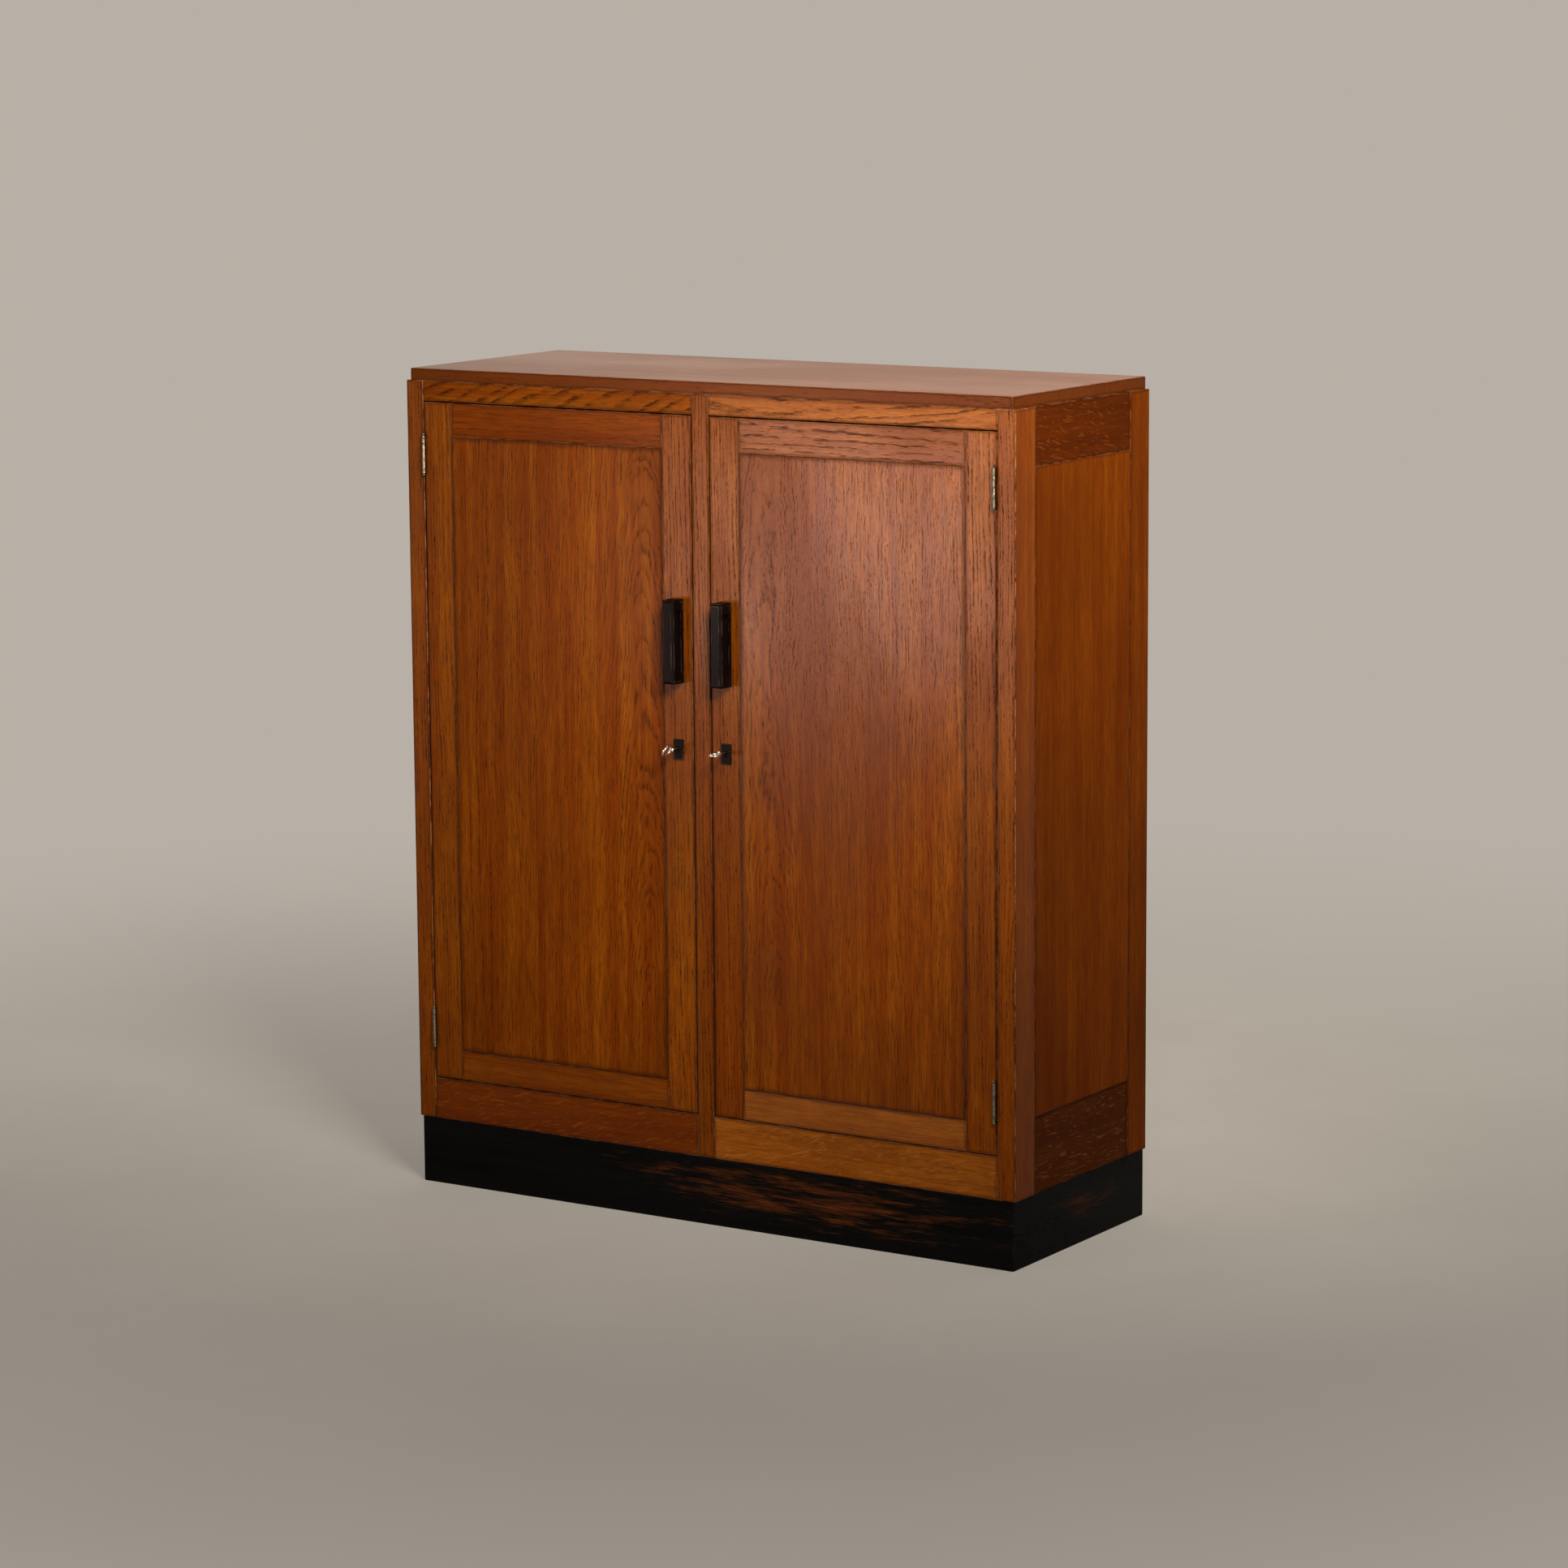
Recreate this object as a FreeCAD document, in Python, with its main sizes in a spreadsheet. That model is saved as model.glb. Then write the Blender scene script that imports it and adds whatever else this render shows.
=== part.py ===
import FreeCAD, Part
import math
import os
from types import SimpleNamespace

import Sketcher

# Driving sizes: millimetres, with degrees for turns and plain counts
SIZES = {
    # Whole carcass
    "cabinet_width": 1265,
    "cabinet_depth": 462,
    "plinth_height": 123,
    "body_height": 1355,
    # Top board
    "top_thickness": 22,
    "top_side_inset": 8,
    "top_front_inset": 3,
    "top_edge_round": 2.5,
    "top_block_length": 60,
    "top_block_section": 16,
    "top_blocks_per_rail": 2,
    # Posts and front rails
    "post_width": 36,
    "post_depth": 66,
    "centre_post_width": 34,
    "centre_post_depth": 46,
    "centre_post_web": 6,
    "front_set_back": 0.5,
    "front_top_rail_height": 36,
    "front_bottom_rail_height": 76,
    # Side frames
    "side_rail_thickness": 24,
    "side_rail_set_back": 2,
    "side_top_rail_height": 100,
    "side_bottom_rail_height": 135,
    "side_tenon_length": 28,
    "side_panel_proud": 2,
    "side_tongue_set_back": 5,
    "side_tongue_thickness": 9,
    # Framed back
    "back_set_in": 1,
    "back_rail_thickness": 22,
    "back_top_rail_height": 70,
    "back_bottom_rail_height": 110,
    "back_muntin_width": 70,
    "back_panel_recess": 6,
    "back_panel_thickness": 8,
    # Joinery
    "tenon_thickness": 9,
    "tenon_length": 14,
    "tenon_shoulder": 6,
    "mortise_play": 0.15,
    "panel_groove_depth": 8,
    "panel_end_play": 0.8,
    "panel_face_play": 0.15,
    "panel_gap": 0.4,
    # Inside boards
    "bottom_board_thickness": 20,
    "partition_thickness": 20,
    "partition_tongue": 7,
    "board_play": 0.5,
    "strip_section": 16,
    "strip_end_gap": 20,
    "stop_overlap": 12,
    # Shelves on toothed racks
    "rack_width": 19,
    "rack_thickness": 12,
    "rack_front_gap": 1,
    "rack_rear_gap": 8,
    "rack_top_gap": 62,
    "rack_pitch": 40,
    "tooth_start": 24,
    "tooth_depth": 8,
    "tooth_height": 24,
    "tooth_overrun": 2,
    "bearer_height": 22,
    "bearer_play": 0.3,
    "shelf_count": 3,
    "shelf_thickness": 20,
    "shelf_front_gap": 36,
    "shelf_play": 1.5,
    # Plinth
    "plinth_side_inset": 5,
    "plinth_front_inset": 2,
    "plinth_thickness": 22,
    "corner_block_section": 38,
    "corner_block_lift": 10,
    # Doors
    "door_gap": 2,
    "lock_gap": 3,
    "door_thickness": 24,
    "door_stile_width": 60,
    "door_top_rail_height": 60,
    "door_bottom_rail_height": 54,
    "door_tenon_length": 36,
    "door_panel_proud": 1.2,
    "door_tongue_set_back": 4.5,
    "door_tongue_thickness": 9,
    "stop_play": 0.5,
    # Hinges
    "hinge_length": 68,
    "hinge_end_distance": 60,
    "leaf_thickness": 1.6,
    "leaf_width": 20,
    "leaf_play": 0.1,
    "leaf_clearance": 0.4,
    "leaf_screw_inset": 11,
    "leaf_screw_count": 3,
    "knuckle_count": 5,
    "knuckle_radius": 3.5,
    "knuckle_play": 0.3,
    "knuckle_overlap": 0.2,
    "knuckle_gap": 1,
    "pin_radius": 1.5,
    "pin_play": 0.05,
    "tip_radius": 2.6,
    # Screws
    "screw_radius": 1.5,
    "screw_head_radius": 2.8,
    "screw_head_depth": 1.3,
    "screw_slot_width": 0.7,
    "screw_slot_depth": 0.6,
    "screw_play": 0.05,
    "leaf_screw_length": 14,
    "lock_screw_length": 9,
    "handle_screw_length": 34,
    # Handles
    "handle_rise": 844,
    "handle_length": 148,
    "handle_width": 24,
    "handle_reach": 34,
    "handle_bar": 11.5,
    "handle_web": 8,
    "handle_flange": 2.5,
    "handle_foot": 20,
    "handle_chamfer": 4.2,
    # Locks
    "lock_rise": 654,
    "lock_cheek": 2.5,
    "lock_case_depth": 13,
    "lock_case_above": 21,
    "lock_case_below": 14,
    "lock_wall": 1.6,
    "lock_flange": 10,
    "lock_play": 0.15,
    "bolt_back_room": 3.4,
    "bolt_thickness": 5,
    "bolt_height": 10,
    "bolt_rise": 6.5,
    "bolt_depth": 5,
    "bolt_play": 0.4,
    "talon_lead": 3,
    "talon_width": 18,
    "talon_depth": 5,
    "keep_width": 16,
    "keep_height": 40,
    "keep_thickness": 1.6,
    "keep_play": 1,
    # Escutcheons
    "escutcheon_width": 20,
    "escutcheon_height": 36,
    "escutcheon_thickness": 3,
    "escutcheon_drop": 3,
    "escutcheon_chamfer": 0.8,
    "keyhole_play": 0.5,
    # Keys
    "key_radius": 2.7,
    "key_tip_gap": 3.5,
    "key_neck": 21.5,
    "key_collar_radius": 4,
    "key_collar_length": 2.4,
    "key_bow_radius": 10.7,
    "key_bow_wire": 2,
    "key_bit_radius": 9,
    "key_bit_length": 7,
    "key_bit_set_back": 1.7,
    "key_bit_thickness": 2.2,
    "key_ward_width": 1.4,
    "key_ward_depth": 3,
    "left_key_turn": 30,
    "right_key_turn": 90,
}

SIDES = {"left": -1, "right": 1}
LEVELS = ("top", "bottom")
ORIGIN_POINT = -1
LINE_START = 1
LINE_END = 2
QUARTER_TURN = 90
EDGE_TOLERANCE = 1e-4
TURNS = {
    ("x", 1): FreeCAD.Rotation(FreeCAD.Vector(0, 1, 0), QUARTER_TURN),
    ("x", -1): FreeCAD.Rotation(FreeCAD.Vector(0, 1, 0), -QUARTER_TURN),
    ("y", 1): FreeCAD.Rotation(FreeCAD.Vector(1, 0, 0), -QUARTER_TURN),
    ("y", -1): FreeCAD.Rotation(FreeCAD.Vector(1, 0, 0), QUARTER_TURN),
    ("z", 1): FreeCAD.Rotation(),
}


class Size:
    """A length that carries its sheet formula beside its present value."""

    def __init__(self, formula, value):
        self.formula = formula
        self.value = value

    def __add__(self, other):
        other = as_size(other)
        return Size(f"({self.formula} + {other.formula})", self.value + other.value)

    def __sub__(self, other):
        other = as_size(other)
        return Size(f"({self.formula} - {other.formula})", self.value - other.value)

    def __mul__(self, other):
        other = as_size(other)
        return Size(f"({self.formula} * {other.formula})", self.value * other.value)

    def __truediv__(self, other):
        other = as_size(other)
        return Size(f"({self.formula} / {other.formula})", self.value / other.value)

    def __neg__(self):
        return self * -1

    __rmul__ = __mul__


def as_size(item):
    """A plain number as a size."""
    return item if isinstance(item, Size) else Size(f"({item})", item)


def whole(size):
    """The whole steps in a size."""
    return Size(f"floor({size.formula})", math.floor(size.value))


def nearest(size):
    """The whole number nearest to a size."""
    return whole(size + as_size(1) / 2)


# The document and its sheet of driving sizes
doc = FreeCAD.newDocument("archive_cabinet")
sheet = doc.addObject("Spreadsheet::Sheet", "sizes")
for row, (alias, number) in enumerate(SIZES.items(), start=1):
    sheet.set(f"A{row}", alias)
    sheet.set(f"B{row}", str(number))
    sheet.setAlias(f"B{row}", alias)
doc.recompute()
dim = SimpleNamespace(**{alias: Size(f"sizes.{alias}", number) for alias, number in SIZES.items()})
nodes = {}
cuts_to_check = []


def bind(item, path, size):
    """Ties one property of an object to the sheet."""
    item.setExpression(path, as_size(size).formula)


def place(item, x, y, z):
    """Ties an object's place to the sheet."""
    for axis, size in zip("xyz", (x, y, z)):
        bind(item, f"Placement.Base.{axis}", size)


def keep_node(label, item):
    """Names a finished sub-part."""
    item.Label = label
    nodes[label] = item
    return item


def block(name, xs, ys, zs):
    """A rectangular block between two limits along each axis."""
    box = doc.addObject("Part::Box", name)
    for limits, side, axis in ((xs, "Length", "x"), (ys, "Width", "y"), (zs, "Height", "z")):
        low, high = sorted(map(as_size, limits), key=lambda limit: limit.value)
        bind(box, side, high - low)
        bind(box, f"Placement.Base.{axis}", low)
    return box


def grown(limits, play):
    """Two limits moved apart by a clearance."""
    low, high = sorted(map(as_size, limits), key=lambda limit: limit.value)
    return (low - play, high + play)


def socket(name, room, play):
    """The space that a block needs, with clearance on every face."""
    return block(name, *(grown(limits, play) for limits in room))


def about(centre, width):
    """Two limits, half the width to each side of a centre."""
    centre = as_size(centre)
    return (centre - width / 2, centre + width / 2)


def rod(name, radius, start, length, axis, way=1):
    """A round bar from a start point along an axis."""
    bar = doc.addObject("Part::Cylinder", name)
    bar.Placement = FreeCAD.Placement(FreeCAD.Vector(), TURNS[axis, way])
    bind(bar, "Radius", radius)
    bind(bar, "Height", length)
    place(bar, *start)
    return bar


def taper(name, wide, narrow, start, length, axis, way=1):
    """A cone frustum from its wide end along an axis."""
    cone = doc.addObject("Part::Cone", name)
    cone.Placement = FreeCAD.Placement(FreeCAD.Vector(), TURNS[axis, way])
    bind(cone, "Radius1", wide)
    bind(cone, "Radius2", narrow)
    bind(cone, "Height", length)
    place(cone, *start)
    return cone


def join(name, pieces):
    """One solid from pieces that meet."""
    fused = doc.addObject("Part::MultiFuse", name)
    fused.Shapes = pieces
    return fused


def cut(name, base, tools):
    """A piece with the room of its neighbours taken out of it."""
    if len(tools) > 1:
        tool = doc.addObject("Part::Compound", f"{name}_room")
        tool.Links = tools
    else:
        tool = tools[0]
    result = doc.addObject("Part::Cut", name)
    result.Base = base
    result.Tool = tool
    cuts_to_check.append((result, base))
    return result


def group(name, pieces):
    """Separate solids kept as one sub-part."""
    held = doc.addObject("Part::Compound", name)
    held.Links = pieces
    return held


def new_body(name):
    """An empty body for sketched features."""
    return doc.addObject("PartDesign::Body", name)


def sketch_on(body, role, name):
    """A sketch on one of the body's own planes."""
    plane = next(feature for feature in body.Origin.OriginFeatures if feature.Role == role)
    sketch = body.newObject("Sketcher::SketchObject", name)
    sketch.AttachmentSupport = (plane, [""])
    sketch.MapMode = "FlatFace"
    return sketch


def outline(sketch, points):
    """Draws a closed outline of straight sides whose corners follow the sheet."""
    points = [(as_size(across), as_size(up)) for across, up in points]
    first = sketch.GeometryCount
    corners = [FreeCAD.Vector(across.value, up.value) for across, up in points]
    following = corners[1:] + corners[:1]
    sketch.addGeometry([Part.LineSegment(*ends) for ends in zip(corners, following)], False)
    for index in range(len(points)):
        after = first + (index + 1) % len(points)
        sketch.addConstraint(
            Sketcher.Constraint("Coincident", first + index, LINE_END, after, LINE_START)
        )
    for index, (across, up) in enumerate(points):
        for kind, size in (("DistanceX", across), ("DistanceY", up)):
            rule = Sketcher.Constraint(kind, ORIGIN_POINT, LINE_START, first + index, LINE_START, size.value)
            bind(sketch, f"Constraints[{sketch.addConstraint(rule)}]", size)


def rectangle(xs, ys):
    """The four corners of a rectangle."""
    return [(xs[0], ys[0]), (xs[1], ys[0]), (xs[1], ys[1]), (xs[0], ys[1])]


def pad(body, sketch, length):
    """Raises a sketch into a solid."""
    raised = body.newObject("PartDesign::Pad", f"{body.Name}_pad")
    raised.Profile = sketch
    bind(raised, "Length", length)
    return raised


def pocket(body, sketch, length, base):
    """Sinks a sketch through a solid, both ways from its plane."""
    sunk = body.newObject("PartDesign::Pocket", f"{body.Name}_pocket")
    sunk.Profile = sketch
    sunk.SideType = "Symmetric"
    bind(sunk, "Length", length)
    cuts_to_check.append((sunk, base))
    return sunk


def edges_at(feature, axis, size):
    """Names of the straight edges that lie wholly at one height along an axis."""
    doc.recompute()
    found = []
    for index, edge in enumerate(feature.Shape.Edges, start=1):
        if all(abs(getattr(vertex.Point, axis) - size.value) < EDGE_TOLERANCE for vertex in edge.Vertexes):
            found.append(f"Edge{index}")
    return found


# Planes that the pieces share
key_stand_off = dim.escutcheon_thickness + dim.key_neck + 2 * (dim.key_bow_radius + dim.key_bow_wire)
front = (key_stand_off - dim.front_set_back - dim.cabinet_depth) / 2
back = front + dim.cabinet_depth
base = dim.plinth_height
crown = base + dim.body_height
half = dim.cabinet_width / 2
inner = half - dim.post_width
middle = dim.centre_post_width / 2
door_front = front + dim.front_set_back
door_back = door_front + dim.door_thickness
rail_back = door_back + dim.stop_play
door_low = base + dim.front_bottom_rail_height + dim.door_gap
door_high = crown - dim.front_top_rail_height - dim.door_gap
side_out = half - dim.side_rail_set_back
side_in = side_out - dim.side_rail_thickness
back_rail_back = back - dim.back_set_in
back_rail_front = back_rail_back - dim.back_rail_thickness
floor_top = base + dim.front_bottom_rail_height
floor_low = floor_top - dim.bottom_board_thickness
panel_entry = dim.panel_groove_depth - dim.panel_end_play
full_height = (base, crown)
front_rail_depth = (door_front, rail_back)
back_rail_depth = (back_rail_front, back_rail_back)

FRONT_RAIL_HEIGHTS = {
    "top": (crown - dim.front_top_rail_height, crown),
    "bottom": (base, base + dim.front_bottom_rail_height),
}
SIDE_RAIL_HEIGHTS = {
    "top": (crown - dim.side_top_rail_height, crown),
    "bottom": (base, base + dim.side_bottom_rail_height),
}
BACK_RAIL_HEIGHTS = {
    "top": (crown - dim.back_top_rail_height, crown),
    "bottom": (base, base + dim.back_bottom_rail_height),
}
DOOR_RAIL_HEIGHTS = {
    "top": (door_high - dim.door_top_rail_height, door_high),
    "bottom": (door_low, door_low + dim.door_bottom_rail_height),
}


def between_rails(heights):
    """The clear height between a bottom rail and a top rail."""
    return (heights["bottom"][1], heights["top"][0])


def middle_of(limits):
    """The centre between two limits."""
    return (limits[0] + limits[1]) / 2


def tenon_height(limits):
    """A rail's height less the shoulders above and below its tenon."""
    return (limits[0] + dim.tenon_shoulder, limits[1] - dim.tenon_shoulder)


def framed_rail(label, room, tenons, panel_seats):
    """A rail with its tenons, grooved for the panels beside it."""
    pieces = [block(f"{label}_rail", *room)]
    pieces += [block(f"{label}_tenon", *tenon) for tenon in tenons]
    whole_rail = join(f"{label}_joined", pieces)
    return keep_node(label, cut(f"{label}_cut", whole_rail, panel_seats) if panel_seats else whole_rail)


def mortises(label, tenons):
    """Sockets for a list of tenons."""
    return [socket(f"{label}_mortise", tenon, dim.mortise_play) for tenon in tenons]


def rebated_panel(label, tongue_room, field_room):
    """A panel whose field fills its opening and whose thinner edge enters the grooves."""
    tongue = block(f"{label}_tongue", *tongue_room)
    field = block(f"{label}_field", *field_room)
    return keep_node(label, join(f"{label}_joined", [tongue, field]))


def panel_seat(label, room, face_axis):
    """The room that a panel takes in its frame, looser at its edges than at its faces."""
    limits = []
    for axis, pair in zip("xyz", room):
        limits.append(grown(pair, dim.panel_face_play if axis == face_axis else dim.panel_end_play))
    return block(f"{label}_seat", *limits)


def screw_axes(axis, along, across, up):
    """Orders limits along a screw, across it and upwards as x, y, z limits."""
    return (along, across, up) if axis == "x" else (across, along, up)


def screw(name, point, axis, way, length):
    """A slotted countersunk screw, its head at a point and its shank along an axis."""
    along = point["xy".index(axis)]
    across = point["yx".index(axis)]
    head_end = list(point)
    head_end["xy".index(axis)] = along + way * dim.screw_head_depth
    head_depth = dim.screw_head_depth
    head = taper(f"{name}_head", dim.screw_head_radius, dim.screw_radius, point, head_depth, axis, way)
    shank = rod(f"{name}_shank", dim.screw_radius, head_end, length - head_depth, axis, way)
    slot_room = screw_axes(
        axis,
        (along, along + way * dim.screw_slot_depth),
        about(across, dim.screw_slot_width),
        about(point[2], 2 * dim.screw_head_radius),
    )
    return cut(name, join(f"{name}_joined", [head, shank]), [block(f"{name}_slot", *slot_room)])


def screw_hole(name, point, axis, way, length):
    """The hole for a countersunk screw, with clearance."""
    radius = dim.screw_radius + dim.screw_play
    head_radius = dim.screw_head_radius + dim.screw_play
    head = taper(f"{name}_sink", head_radius, radius, point, dim.screw_head_depth, axis, way)
    shank = rod(f"{name}_hole", radius, point, length + dim.screw_play, axis, way)
    return join(f"{name}_room", [head, shank])


# Room of the rails' tenons, which the posts' mortises follow


def front_tenons(side, level):
    """Tenons of one front rail: into the corner post, then into the centre post."""
    depth = about(middle_of(front_rail_depth), dim.tenon_thickness)
    height = tenon_height(FRONT_RAIL_HEIGHTS[level])
    outer = (side * inner, side * (inner + dim.tenon_length))
    centre = (side * middle, side * dim.centre_post_web / 2)
    return [(outer, depth, height), (centre, depth, height)]


def side_tenons(side, level):
    """Tenons of one side rail: into the front post, then into the rear post."""
    across = about(side * (side_out + side_in) / 2, dim.tenon_thickness)
    height = tenon_height(SIDE_RAIL_HEIGHTS[level])
    fore = front + dim.post_depth
    rear = back - dim.post_depth
    return [
        (across, (fore - dim.side_tenon_length, fore), height),
        (across, (rear, rear + dim.side_tenon_length), height),
    ]


def back_tenons(level):
    """Tenons of one back rail: into the left post, then into the right post."""
    depth = about(middle_of(back_rail_depth), dim.tenon_thickness)
    height = tenon_height(BACK_RAIL_HEIGHTS[level])
    return [((side * inner, side * (inner + dim.tenon_length)), depth, height) for side in SIDES.values()]


def muntin_tenons():
    """Tenons of the back muntin: into the bottom rail, then into the top rail."""
    depth = about(middle_of(back_rail_depth), dim.tenon_thickness)
    across = about(0, dim.back_muntin_width - 2 * dim.tenon_shoulder - 2 * dim.panel_groove_depth)
    low, high = between_rails(BACK_RAIL_HEIGHTS)
    return [
        (across, depth, (low - dim.tenon_length, low)),
        (across, depth, (high, high + dim.tenon_length)),
    ]


def door_edges(side):
    """A door's hinge edge and lock edge."""
    hinge_gap = dim.leaf_thickness + dim.leaf_clearance
    return side * (inner - hinge_gap), side * (middle + dim.lock_gap)


def door_rail_span(side):
    """Where a door's rails meet its hinge stile and its lock stile."""
    hinge_edge, lock_edge = door_edges(side)
    return hinge_edge - side * dim.door_stile_width, lock_edge + side * dim.door_stile_width


def door_tenons(side, level):
    """Tenons of one door rail: into the hinge stile, then into the lock stile."""
    depth = about((door_front + door_back) / 2, dim.tenon_thickness)
    low, high = DOOR_RAIL_HEIGHTS[level]
    if level == "top":
        height = (low + dim.panel_groove_depth, high - dim.tenon_shoulder)
    else:
        height = (low + dim.tenon_shoulder, high - dim.panel_groove_depth)
    at_hinge, at_lock = door_rail_span(side)
    return [
        ((at_hinge, at_hinge + side * dim.door_tenon_length), depth, height),
        ((at_lock, at_lock - side * dim.door_tenon_length), depth, height),
    ]


# Hinges: a leaf on the post, a leaf let into the door's edge and a tipped pin


def hinge_low(level):
    """The lower end of a hinge."""
    if level == "top":
        return door_high - dim.hinge_end_distance - dim.hinge_length
    return door_low + dim.hinge_end_distance


def pin_place(side):
    """A hinge pin's place across and deep."""
    side_offset = dim.knuckle_radius - dim.knuckle_overlap
    return side * (inner - side_offset), front - dim.knuckle_radius - dim.knuckle_gap


def leaf_screw_points(face, level):
    """Screw points up the middle of a leaf's face."""
    step = dim.hinge_length / dim.leaf_screw_count
    depth = front + dim.leaf_screw_inset
    first = hinge_low(level) + step / 2
    return [(face, depth, first + step * number) for number in range(SIZES["leaf_screw_count"])]


def hinge_leaf(name, side, level, face_limits, plate_front, knuckles, holes):
    """One hinge leaf: its plate, its knuckles on the pin's line, its pin bore and its screw holes."""
    low = hinge_low(level)
    pin_x, pin_y = pin_place(side)
    step = dim.hinge_length / dim.knuckle_count
    plate_depth = (plate_front, front + dim.leaf_width)
    pieces = [block(f"{name}_plate", face_limits, plate_depth, (low, low + dim.hinge_length))]
    for number in knuckles:
        start = low + step * number + dim.knuckle_play / 2
        length = step - dim.knuckle_play
        pieces.append(block(f"{name}_strap", face_limits, (pin_y, plate_front), (start, start + length)))
        pieces.append(rod(f"{name}_knuckle", dim.knuckle_radius, (pin_x, pin_y, start), length, "z"))
    bore = rod(f"{name}_bore", dim.pin_radius + dim.pin_play, (pin_x, pin_y, low), dim.hinge_length, "z")
    return cut(name, join(f"{name}_joined", pieces), [bore, *holes])


def hinge_pin(name, side, level):
    """A hinge pin with a ball tip at each end."""
    low = hinge_low(level)
    pin_x, pin_y = pin_place(side)
    pieces = [rod(f"{name}_rod", dim.pin_radius, (pin_x, pin_y, low), dim.hinge_length, "z")]
    for way, end in ((-1, low), (1, low + dim.hinge_length)):
        tip = doc.addObject("Part::Sphere", f"{name}_tip")
        bind(tip, "Radius", dim.tip_radius)
        place(tip, pin_x, pin_y, end + way * dim.tip_radius)
        neck_start = end - dim.tip_radius if way < 0 else end
        pieces += [tip, rod(f"{name}_neck", dim.pin_radius, (pin_x, pin_y, neck_start), dim.tip_radius, "z")]
    return join(name, pieces)


frame_leaves = []
hinge_pins = []
frame_screws = []
post_screw_holes = {name: [] for name in SIDES}
door_leaves = {name: [] for name in SIDES}
door_screws = {name: [] for name in SIDES}
hinge_stile_cuts = {name: [] for name in SIDES}
even_knuckles = range(0, SIZES["knuckle_count"], 2)
odd_knuckles = range(1, SIZES["knuckle_count"], 2)
for side_name, side in SIDES.items():
    post_face = (side * inner, side * (inner - dim.leaf_thickness))
    hinge_edge = door_edges(side)[0]
    door_face = (hinge_edge, hinge_edge - side * dim.leaf_thickness)
    for level in LEVELS:
        name = f"{side_name}_{level}"
        frame_holes = []
        for point in leaf_screw_points(post_face[1], level):
            frame_screws.append(screw(f"{name}_frame_screw", point, "x", side, dim.leaf_screw_length))
            frame_holes.append(screw_hole(f"{name}_frame_screw", point, "x", side, dim.leaf_screw_length))
        door_holes = []
        for point in leaf_screw_points(door_face[0], level):
            made = screw(f"{name}_door_screw", point, "x", -side, dim.leaf_screw_length)
            door_screws[side_name].append(made)
            door_holes.append(screw_hole(f"{name}_door_screw", point, "x", -side, dim.leaf_screw_length))
        made = hinge_leaf(f"{name}_frame_leaf", side, level, post_face, front, even_knuckles, frame_holes)
        frame_leaves.append(made)
        made = hinge_leaf(f"{name}_door_leaf", side, level, door_face, door_front, odd_knuckles, door_holes)
        door_leaves[side_name].append(made)
        hinge_pins.append(hinge_pin(f"{name}_pin", side, level))
        post_screw_holes[side_name] += frame_holes
        low = hinge_low(level)
        leaf_room = (door_face, (door_front, front + dim.leaf_width), (low, low + dim.hinge_length))
        hinge_stile_cuts[side_name] += [socket(f"{name}_leaf", leaf_room, dim.leaf_play), *door_holes]
keep_node("hinge_frame_leaves", group("frame_leaves", frame_leaves))
keep_node("hinge_pins", group("pins", hinge_pins))
keep_node("hinge_frame_screws", group("frame_screws", frame_screws))

# Side frames: panels first, because the posts and rails are grooved for them
side_panel_seats = {}
for side_name, side in SIDES.items():
    tongue_face = side_out - dim.side_tongue_set_back
    depth = (front + dim.post_depth, back - dim.post_depth)
    height = between_rails(SIDE_RAIL_HEIGHTS)
    tongue_room = (
        (side * tongue_face, side * (tongue_face - dim.side_tongue_thickness)),
        grown(depth, panel_entry),
        grown(height, panel_entry),
    )
    field_room = (
        (side * (side_out + dim.side_panel_proud), side * tongue_face),
        grown(depth, -dim.panel_gap),
        grown(height, -dim.panel_gap),
    )
    panel_label = f"side_panel_{side_name}"
    rebated_panel(panel_label, tongue_room, field_room)
    side_panel_seats[side_name] = panel_seat(panel_label, tongue_room, "x")
    for level in LEVELS:
        rail_room = ((side * side_out, side * side_in), depth, SIDE_RAIL_HEIGHTS[level])
        label = f"side_{level}_rail_{side_name}"
        framed_rail(label, rail_room, side_tenons(side, level), [side_panel_seats[side_name]])

# Framed back: two panels, a muntin between them and a rail above and below
back_panel_seats = {}
back_panels = []
for side_name, side in SIDES.items():
    face = back_rail_back - dim.back_panel_recess
    height = between_rails(BACK_RAIL_HEIGHTS)
    room = (
        (side * (inner + panel_entry), side * (dim.back_muntin_width / 2 - panel_entry)),
        (face - dim.back_panel_thickness, face),
        (height[0] - panel_entry, height[1] + panel_entry),
    )
    back_panels.append(block(f"back_panel_{side_name}", *room))
    back_panel_seats[side_name] = panel_seat(f"back_panel_{side_name}", room, "y")
keep_node("back_panels", group("back_panel_pair", back_panels))
both_back_seats = list(back_panel_seats.values())
for level, muntin_tenon in zip(("bottom", "top"), muntin_tenons()):
    label = f"back_{level}_rail"
    room = ((-inner, inner), back_rail_depth, BACK_RAIL_HEIGHTS[level])
    framed_rail(label, room, back_tenons(level), both_back_seats + mortises(label, [muntin_tenon]))
muntin_room = (about(0, dim.back_muntin_width), back_rail_depth, between_rails(BACK_RAIL_HEIGHTS))
framed_rail("back_muntin", muntin_room, muntin_tenons(), both_back_seats)

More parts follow.
